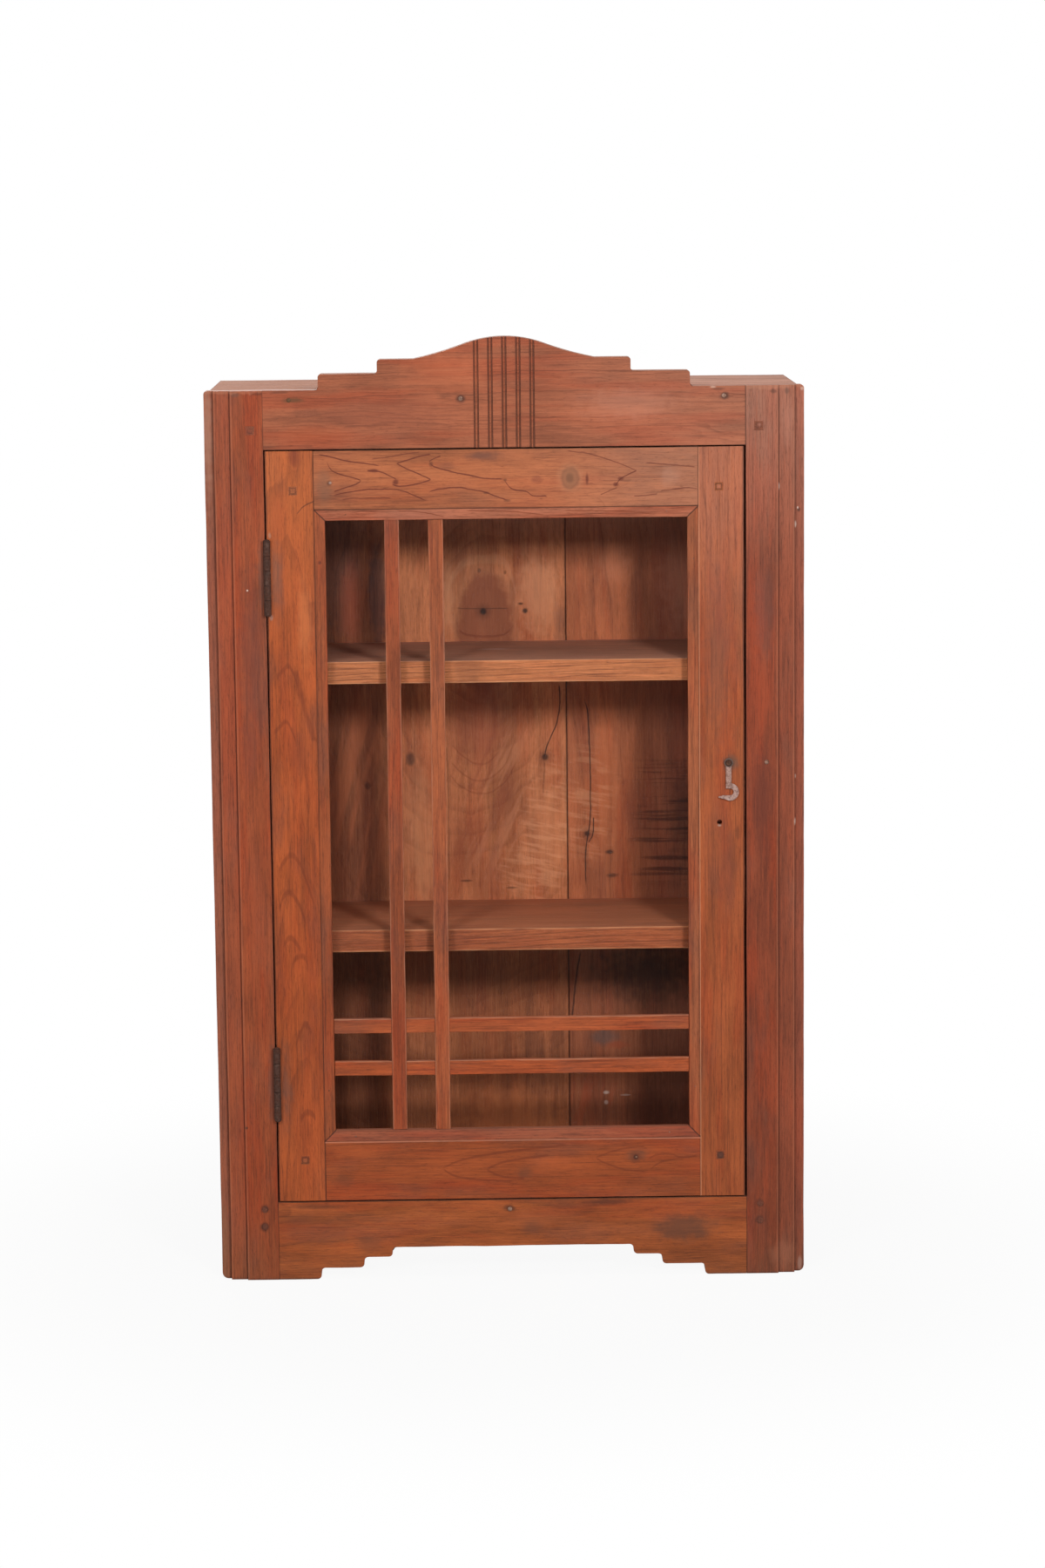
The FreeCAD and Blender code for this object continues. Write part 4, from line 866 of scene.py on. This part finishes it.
flameRail = dict(
    doorBoard, name="flame_rail", node="door_rail_top", grain="level", seed=57, tone=(162, 93, 58),
    fine=0.55, fibre=0.36, heart=(-6, 90), lean=(0.02, 0.14), ringGap=4.4, line=(0.62, 0.93),
    sway=(14.0, 74, 15), ripple=(1.4, 22, 7), veins=0.16, bands=0.06, ember=0.25,
    # the seam at z 806.9 is painted shade: the dark line where the rail's lower arris steps down to the
    # bead
    sides=("plain", "shadeAndGrime"), seams=railJoints + ((2, 806.9, 0.9, jointDirtAndShade, 0.6),),
    # painted sheen and dust toward the right
    fades=((0, -20, 190, sheenAndDust, 0.24),),
    patches=(
        (-184, 830, 12, 28, (120, 84, 64), 0.5), (-20, 860, 24, 7, (92, 60, 52), 0.65),
        (-60, 850, 12, 5, (120, 70, 52), 0.4), (66, 836, 17, 18, (200, 146, 108), 0.22, 0.4),
        (66, 836, 11.5, 13.5, (112, 70, 50), 0.6, 0.65), (66, 836, 8.5, 10.5, (152, 100, 70), 0.45, 0.6),
        (66, 836, 5, 7, (108, 70, 50), 0.6, 0.3), (32, 835, 8, 5, (122, 62, 46), 0.45, 0.4),
        (168, 838, 16, 16, (206, 160, 138), 0.14, 0.0)),
    lines=drawn(1.0, flameVein, 0.85,
        (-189, 863, -176, 860, -161, 856, -139, 853, -127, 851),
        (-140, 846, -128, 845, -118, 841, -110, 837),
        (-115, 832, -107, 830, -95, 831, -85, 833, -75, 836), (-110, 853, -96, 857, -86, 860, -75, 862),
        (-110, 853, -101, 848, -92, 844, -83, 840, -75, 836),
        (-77, 855, -73, 850, -65, 847, -50, 843, -36, 840, -21, 837, -1, 836),
        (-77, 855, -71, 858, -65, 860), (-1, 836, 2, 831, 9, 825, 22, 823, 28, 819, 43, 818),
        (-175, 821, -162, 824, -147, 826, -132, 827, -116, 827, -104, 825, -92, 820, -80, 815),
        (-181, 856, -176, 847, -171, 844, -162, 841, -151, 838, -146, 836),
        (-174, 825, -162, 829, -150, 833, -146, 836),
        (-78, 823, -74, 825, -62, 827, -50, 828, -36, 826, -25, 824, -8, 818, 3, 814),
        (112, 828, 118, 835, 125, 839, 134, 843))
    + drawn(0.9, flameVein, 0.66,
        (63, 864, 84, 861, 101, 856, 118, 850, 134, 843), (-135, 858, -115, 860, -98, 863, -86, 864),
        (-166, 817, -150, 818, -132, 818, -116, 818), (97, 819, 104, 822, 114, 826),
        (143, 851, 164, 849, 176, 848, 194, 846), (158, 822, 173, 824, 184, 825, 196, 824),
        (131, 817, 143, 818, 155, 819)),
    marks=(
        (83.5, 835, 2.4, 9, flameVein, 0.8), (113, 829, 4, 3, flameVein, 0.8),
        (118, 835, 4, 3, flameVein, 0.7), (176, 824, 9, 1.6, flameVein, 0.6),
        (-178.5, 833.5, 4.5, 4, dirt, 0.6), (-177.5, 834, 2.4, 2, chalk, 0.32),
        (-133, 846, 8, 2.6, flameVein, 0.8), (-111, 834, 4.5, 4.5, flameVein, 0.8),
        (-75, 852, 3, 4, dirt, 0.5), (0, 835, 3, 2.4, dirt, 0.5), (-19, 822, 4, 1.8, dirt, 0.5),
        (2, 814, 5, 2, dirt, 0.4)))
footRail = dict(
    doorBoard, name="foot_rail", node="door_rail_low", grain="level", seed=61, tone=(152, 74, 37),
    fine=0.55, fibre=0.38, heart=(60, 30), lean=(0.0, 0.02), ringGap=3.6, veins=0.26,
    # the pale seam at z 146.6 is a painted highlight: the rail's upper arris catching the light
    sides=("shadeAndGrime", "plain"), ember=0.5, seams=railJoints + ((2, 146.6, 1.0, (214, 150, 122), 0.36),),
    patches=(
        (129, 129, 16, 9, (104, 66, 48), 0.55, 0.3), (13, 112, 14, 10, (100, 60, 42), 0.5),
        (-176, 106, 16, 10, (100, 58, 40), 0.45), (-99, 96, 20, 8, (96, 56, 40), 0.4),
        (42, 124, 30, 7, (196, 96, 48), 0.4), (-160, 135, 40, 8, (186, 92, 48), 0.35)),
    lines=drawn(1.4, softVein, 0.55,
        (87, 127, 104, 133, 122, 137, 139, 138), (87, 126, 99, 120, 116, 114, 139, 111),
        (142, 125, 162, 130, 179, 126, 193, 128), (144, 114, 156, 121, 173, 125, 194, 127))
    + drawn(1.8, softVein, 0.6,
        (-73, 118, -50, 127, -16, 133, 19, 137, 59, 141), (-73, 117, -56, 108, -27, 104, 1, 103),
        (-27, 116, -10, 123, 13, 127, 39, 130), (-27, 115, -10, 108, 13, 105)),
    knots=((129, 127, 3.6, 8, 0.75),), marks=((129.5, 127, 1.4, 1.2, (150, 112, 90), 0.7),))
for look in (hingeStile, hookStile, flameRail, footRail):
    wornBoard(look)
print("door frame worn")

bead = dict(
    board, heart=(60, 10), ringGap=3.2, veins=0.35, bands=0.1, wear=0.4, soften=0.5, step=12,
    far=(0.35, 0.1, 0.35), ember=0.5, smoke=0.5)
beads = (
    dict(
        bead, name="bead_hinge_side", node="glazing_bead_left", seed=64, tone=(148, 75, 41),
        sides=("shadeAndGrime", "wear"), mitre=-1, marks=((-189.7, 752.8, 3, 3, deepRed, 0.8),)),
    dict(
        bead, name="bead_hook_side", node="glazing_bead_right", seed=66, tone=(154, 86, 54),
        sides=("wear", "shadeAndGrime"), mitre=1),
    dict(
        bead, name="bead_head", node="glazing_bead_top", grain="level", seed=68, tone=(172, 103, 76),
        sides=("wear", "shadeAndGrime"), mitre=1, patches=((-95, 801, 50, 8, (176, 112, 90), 0.4),),
        lines=drawn(0.8, softVein, 0.6,
            (-110, 805, -85, 803, -62, 798), (-40, 804, 0, 803, 40, 799), (60, 803, 110, 802, 150, 799))),
    dict(
        bead, name="bead_foot", node="glazing_bead_low", grain="level", seed=70, tone=(139, 73, 47),
        sides=("shadeAndGrime", "wear"), mitre=-1),
)
bar = dict(bead, wear=0.34, soften=0.4)
crossBar = dict(bar, grain="level", sides=("plain", "wear"), wear=0.6, wearWidth=1.3, ember=0.7)
bars = (
    dict(bar, name="bar_near_hinge", node="glazing_bar_first", seed=72, tone=(143, 72, 42)),
    dict(bar, name="bar_near_middle", node="glazing_bar_second", seed=74, tone=(158, 85, 51)),
    dict(crossBar, name="cross_low", node="cross_bar_first", seed=76, tone=(172, 82, 42)),
    dict(crossBar, name="cross_high", node="cross_bar_second", seed=78, tone=(160, 79, 43)),
)
for look in beads + bars:
    wornBoard(look)
peg = dict(board, grain="endOn", heart=(3, 2), ringGap=1.6, step=0, soften=0.12, wear=0.0, veins=0.2)
pegs = (
    dict(
        peg, name="frame_peg_ends", node="case_pegs", seed=80, tone=(136, 74, 50),
        fades=((2, 120, 100, (84, 52, 42), 0.7),),
        frames=((-258, 887.5, 2.3, 1.0, 0.3), (258, 887.5, 2.6, 1.0, 0.22)),
        patches=(
            (-259, 886.5, 4, 4, (96, 48, 40), 0.45, 0.1), (259, 888.5, 3, 3, (168, 112, 96), 0.5, 0.1),
            (256, 886, 3, 2.4, (100, 54, 44), 0.5, 0.1))),
    dict(
        peg, name="door_peg_ends", node="door_pegs", seed=82, tone=(152, 80, 44),
        fades=((2, 700, 800, (184, 104, 62), 0.6),),
        frames=tuple((x, z, 2.9, 1.3, 0.5) for x in (-215.8, 217.5) for z in (127.9, 826.1)),
        patches=(
            (217.5, 127.9, 4.4, 4.4, (78, 50, 41), 0.85, 0.6),
            (217.5, 826.1, 3, 3, (168, 106, 86), 0.5, 0.3),
            (-215.8, 826.1, 3, 3, (124, 74, 46), 0.5, 0.3),
            (-215.8, 127.9, 3.4, 3.4, (150, 84, 56), 0.5, 0.5))),
)
for look in pegs:
    wornBoard(look)
print("beads, bars and pegs worn")

ironLook = dict(
    tone=(82, 57, 48), dark=(54, 38, 32), rust=(92, 54, 40), rustShare=0.5, shine=(106, 84, 74),
    shineShare=0.4, metallic=0.2, roughness=0.72, specular=0.15, grit=2.2, seed=90, fades=(), rims=(),
    darkReach=(0.35, 0.68), shineReach=(0.46, 0.28), rustReach=(0.46, 0.62), pitReach=(0.55, 0.75),
    bump=(0.45, 0.25))
pivotLook = dict(
    ironLook, tone=(98, 68, 53), dark=(56, 38, 31), metallic=0.05, roughness=0.85, seed=92,
    rims=((226.7, 542, 3.7, (44, 29, 24), 0.8),))
steelLook = dict(
    ironLook, tone=(164, 132, 121), dark=(112, 82, 73), rust=(132, 86, 66), rustShare=0.35,
    shine=(204, 180, 170), specular=0.5, metallic=0.5, roughness=0.45, grit=3.0, seed=94,
    fades=((2, 536.5, 539.5, (74, 60, 54), 0.85),))
nailSpots = ((-2.9, 73), (266, 542), (-218, 918), (-44.1, 918), (223, 918))  # x and z of the front ones
nailLook = dict(
    ironLook, tone=(160, 124, 106), dark=(100, 72, 60), shine=(206, 180, 164), metallic=0.12,
    roughness=0.62, grit=1.6, seed=97,
    fades=((0, -20, -60, (104, 82, 70), 0.6), (0, -120, -200, (94, 64, 40), 0.85)),
    rims=tuple((x, z, 3.4, dirt, 0.7) for x, z in nailSpots))


def oldMetal(name, look):
    paint = Paint(name)
    spot = paint.coordinates()
    parts = paint.axes(spot)
    grit = look["grit"]
    seed = look["seed"]
    cloud = paint.noise(spot, [grit * 4] * 3, seed, 4.0, 0.6)
    speck = paint.noise(spot, [grit] * 3, seed + 3.3, 3.0, 0.65)
    pit = paint.noise(spot, [grit * 0.4] * 3, seed + 7.7, 2.0)
    rustShare = (cloud * 0.6 + speck * 0.4).ease(*look["rustReach"]) * look["rustShare"]
    colour = paint.blend(light(look["tone"]), light(look["dark"]), speck.ease(*look["darkReach"]))
    colour = paint.blend(colour, light(look["shine"]), cloud.ease(*look["shineReach"]) * look["shineShare"])
    colour = paint.blend(colour, light(look["rust"]), rustShare)
    ragged = (speck - mid) * 2
    for axis, start, full, tint, share in look["fades"]:
        colour = paint.blend(colour, light(tint), (parts[axis] + ragged).ease(start, full) * share)
    for x, z, radius, tint, share in look["rims"]:  # dirt round a head
        aside, above = parts[0] - x, parts[2] - z
        gap = (aside * aside + above * above).root() + ragged
        rim = gap.ease(radius * 0.55, radius) * gap.ease(radius * 2.5, radius * 2)
        colour = paint.blend(colour, light(tint), rim * share)
    rough = look["roughness"] + (speck - mid) * 0.4 + rustShare * 0.3
    height = speck * 0.6 - pit.ease(*look["pitReach"]) * 0.5
    strength, tall = look["bump"]
    return paint.finish({"Base Color": colour, "Roughness": rough,
                         "Metallic": look["metallic"] * (1 - rustShare),
                         "Specular IOR Level": look["specular"],
                         "Normal": paint.bump(height, strength, tall * mm)})


iron = oldMetal("hinge_iron_worn", ironLook)
steel = oldMetal("hook_steel_worn", steelLook)
pivotIron = oldMetal("hook_pivot_iron_worn", pivotLook)
nailIron = oldMetal("nail_iron_worn", nailLook)


def wornMetal(node, name, material, soften, shortest, segments):
    form = cadForm(node)
    bevelEdges(form, pickArrises(form, shortest), soften, segments)
    place(form, name, node, material)


metalShapes = {  # rounding and shortest rounded edge in mm, segments
    "leaf": (0.25, 0.3, 2),
    "rod": (0.5, 0.2, 2),
    "hook": (0.5, 0.2, 3),
    "pivot": (0.4, 0.2, 2),
}
for end in ("upper", "lower"):
    wornMetal(end + "_hinge_case_leaf", end + "_case_knuckles", iron, *metalShapes["leaf"])
    wornMetal(end + "_hinge_door_leaf", end + "_door_knuckles", iron, *metalShapes["leaf"])
    wornMetal(end + "_hinge_pin", end + "_hinge_rod", iron, *metalShapes["rod"])
wornMetal("hook", "swing_hook", steel, *metalShapes["hook"])
wornMetal("hook_screw", "hook_pivot", pivotIron, *metalShapes["pivot"])

nailHeads = {
    "flat": 0.99,  # how squarely a head faces out
    "rims": ((0.5, 0.30), (0.7, 0.16)),  # inset and lift in mm
}


def domedNails(node, name, facing):  # hammered heads stand a little proud; facing -1 is the front
    form = cadForm(node)
    low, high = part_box(node)
    outside = low.y if facing < 0 else high.y
    heads = []
    for face in form.faces:
        depth = abs(face.calc_center_median().y - outside)
        if face.normal.y * facing > nailHeads["flat"] and depth < weldGap * 5:
            heads.append(face)
    for inset, lift in nailHeads["rims"]:
        bmesh.ops.inset_individual(form, faces=heads, thickness=inset * mm, depth=lift * mm)
    place(form, name, node, nailIron)


domedNails("front_nails", "front_nail_heads", -1)
domedNails("back_nails", "back_nail_heads", 1)
for node, material in (("hinge_case_screws", iron), ("hinge_door_screws", iron), ("bead_pins", nailIron)):
    frame["nodes"][node].data.materials.clear()
    frame["nodes"][node].data.materials.append(material)
print("hinges, hook and nails finished")

glassLook = {
    "tone": (38, 44, 42),
    "clear": 0.015,  # how much of the plain pane shows
    "edge": 0.45,  # and of a pane seen edge on
    "smear": 0.02,
    "smearSize": (60, 60, 190),
    "smearReach": (0.5, 0.8),
    "roughness": (0.04, 0.05),  # clean glass, and what a smear adds
    "ior": 1.5,
    "bump": (0.1, 0.4),  # strength, height in mm
}


def oldGlass(look):
    paint = Paint("window_glass_old")
    smear = paint.noise(paint.coordinates(), look["smearSize"], 3.0, 3.0)
    facing = paint.add("LayerWeight", {}, {"Blend": 0.25}, "Facing")
    alpha = look["clear"] + smear.ease(*look["smearReach"]) * look["smear"] + facing ** 4 * look["edge"]
    clean, dull = look["roughness"]
    strength, tall = look["bump"]
    return paint.finish({"Base Color": light(look["tone"]), "Roughness": clean + smear * dull,
                         "IOR": look["ior"], "Alpha": alpha,
                         "Normal": paint.bump(smear, strength, tall * mm)})


glass = frame["nodes"]["glass_pane"]
glass.data.materials.clear()
glass.data.materials.append(oldGlass(glassLook))
print("glass finished")

studio = {
    "floorSize": 60.0,
    "floorTone": (0.58, 0.57, 0.56, 1.0),
    "airTone": (1, 0.985, 0.97, 1),
    "white": (1, 1, 1, 1),
    "shadowShare": 0.07,  # how much of the floor's own shading the camera sees
    "shadowStart": 350,  # mm from the middle, as the end
    "shadowEnd": 900,
    "fill": 0.235,  # light from the air all round
    "lamps": (
        {"name": "lamp_right", "spot": (0.91, -2.60, 1.57), "size": 0.40, "power": 40.4},
        {"name": "lamp_left", "spot": (-1.04, -2.60, 1.57), "size": 0.50, "power": 23.1},
        {"name": "lamp_over", "spot": (0.0, -0.70, 2.70), "size": 1.20, "power": 14.0},
        {"name": "lamp_behind", "spot": (-0.70, 2.60, 1.40), "size": 0.90, "power": 22.0},
    ),
    "aim": (0.0, 0.0, 0.5),
}


def seenWhite(paint):  # 1 for what the camera, a reflection or a pane shows
    path = paint.add("LightPath", {}, {}).socket.node
    camera, glossy, through = (Field(paint, path.outputs[name]) for name in
                               ("Is Camera Ray", "Is Glossy Ray", "Is Transmission Ray"))
    return camera.most(glossy).most(through)


def makeStudio(look):
    form = bmesh.new()
    bmesh.ops.create_grid(form, x_segments=1, y_segments=1, size=look["floorSize"] / 2)
    mesh = bpy.data.meshes.new("studio_floor")
    form.to_mesh(mesh)
    form.free()
    floor = bpy.data.objects.new("studio_floor", mesh)
    bpy.context.scene.collection.objects.link(floor)
    paint = Paint("studio_floor_white")
    pale = paint.add("BsdfDiffuse", {}, {"Color": look["floorTone"]})
    glow = paint.add("Emission", {}, {"Color": look["white"], "Strength": 1.0})
    spot = paint.axes(paint.coordinates())
    reach = (spot[0] * spot[0] + spot[1] * spot[1]).root()
    shadow = reach.ease(look["shadowEnd"], look["shadowStart"]) * look["shadowShare"]
    share = seenWhite(paint) * (1 - shadow)
    both = paint.add("MixShader", {}, {0: share, 1: pale, 2: glow})
    paint.add("OutputMaterial", {}, {"Surface": both})
    mesh.materials.append(paint.material)
    world = bpy.data.worlds.new("studio_air")
    bpy.context.scene.world = world
    air = Paint("studio_air", world)
    fill = air.add("Background", {}, {"Color": look["airTone"], "Strength": look["fill"]})
    white = air.add("Background", {}, {"Color": look["white"], "Strength": 1.0})
    seen = air.add("MixShader", {}, {0: seenWhite(air), 1: fill, 2: white})
    air.add("OutputWorld", {}, {"Surface": seen})
    for lamp in look["lamps"]:
        light = bpy.data.lights.new(lamp["name"], "AREA")
        light.shape = "SQUARE"
        light.size = lamp["size"]
        light.energy = lamp["power"]
        holder = bpy.data.objects.new(lamp["name"], light)
        toward = Vector(look["aim"]) - Vector(lamp["spot"])
        turn = toward.to_track_quat("-Z", "Y").to_matrix().to_4x4()
        holder.matrix_world = Matrix.Translation(lamp["spot"]) @ turn
        bpy.context.scene.collection.objects.link(holder)


makeStudio(studio)
view = {  # angles in radians
    "spot": (-0.0350, -4.1685, 1.1565),
    "yaw": 0.0122,
    "pitch": -0.1545,
    "roll": -0.0103,
    "lens": 92.06,
    "sensor": 36.0,
}


def setCamera(look):
    yaw, pitch, roll = look["yaw"], look["pitch"], look["roll"]
    level = math.cos(pitch)
    forward = Vector((math.sin(yaw) * level, math.cos(yaw) * level, math.sin(pitch)))
    right = Vector((math.cos(yaw), -math.sin(yaw), 0.0))
    upward = right.cross(forward)
    turnedRight = right * math.cos(roll) + upward * math.sin(roll)
    turnedUp = upward * math.cos(roll) - right * math.sin(roll)
    data = bpy.data.cameras.new("photo_view")
    data.lens = look["lens"]
    data.sensor_width = look["sensor"]
    data.sensor_fit = "AUTO"
    camera = bpy.data.objects.new("photo_view", data)
    turn = Matrix((turnedRight, turnedUp, -forward)).transposed().to_4x4()
    camera.matrix_world = Matrix.Translation(look["spot"]) @ turn
    bpy.context.scene.collection.objects.link(camera)
    bpy.context.scene.camera = camera


setCamera(view)
bpy.context.scene.view_settings.view_transform = "Standard"
print("studio and camera set")
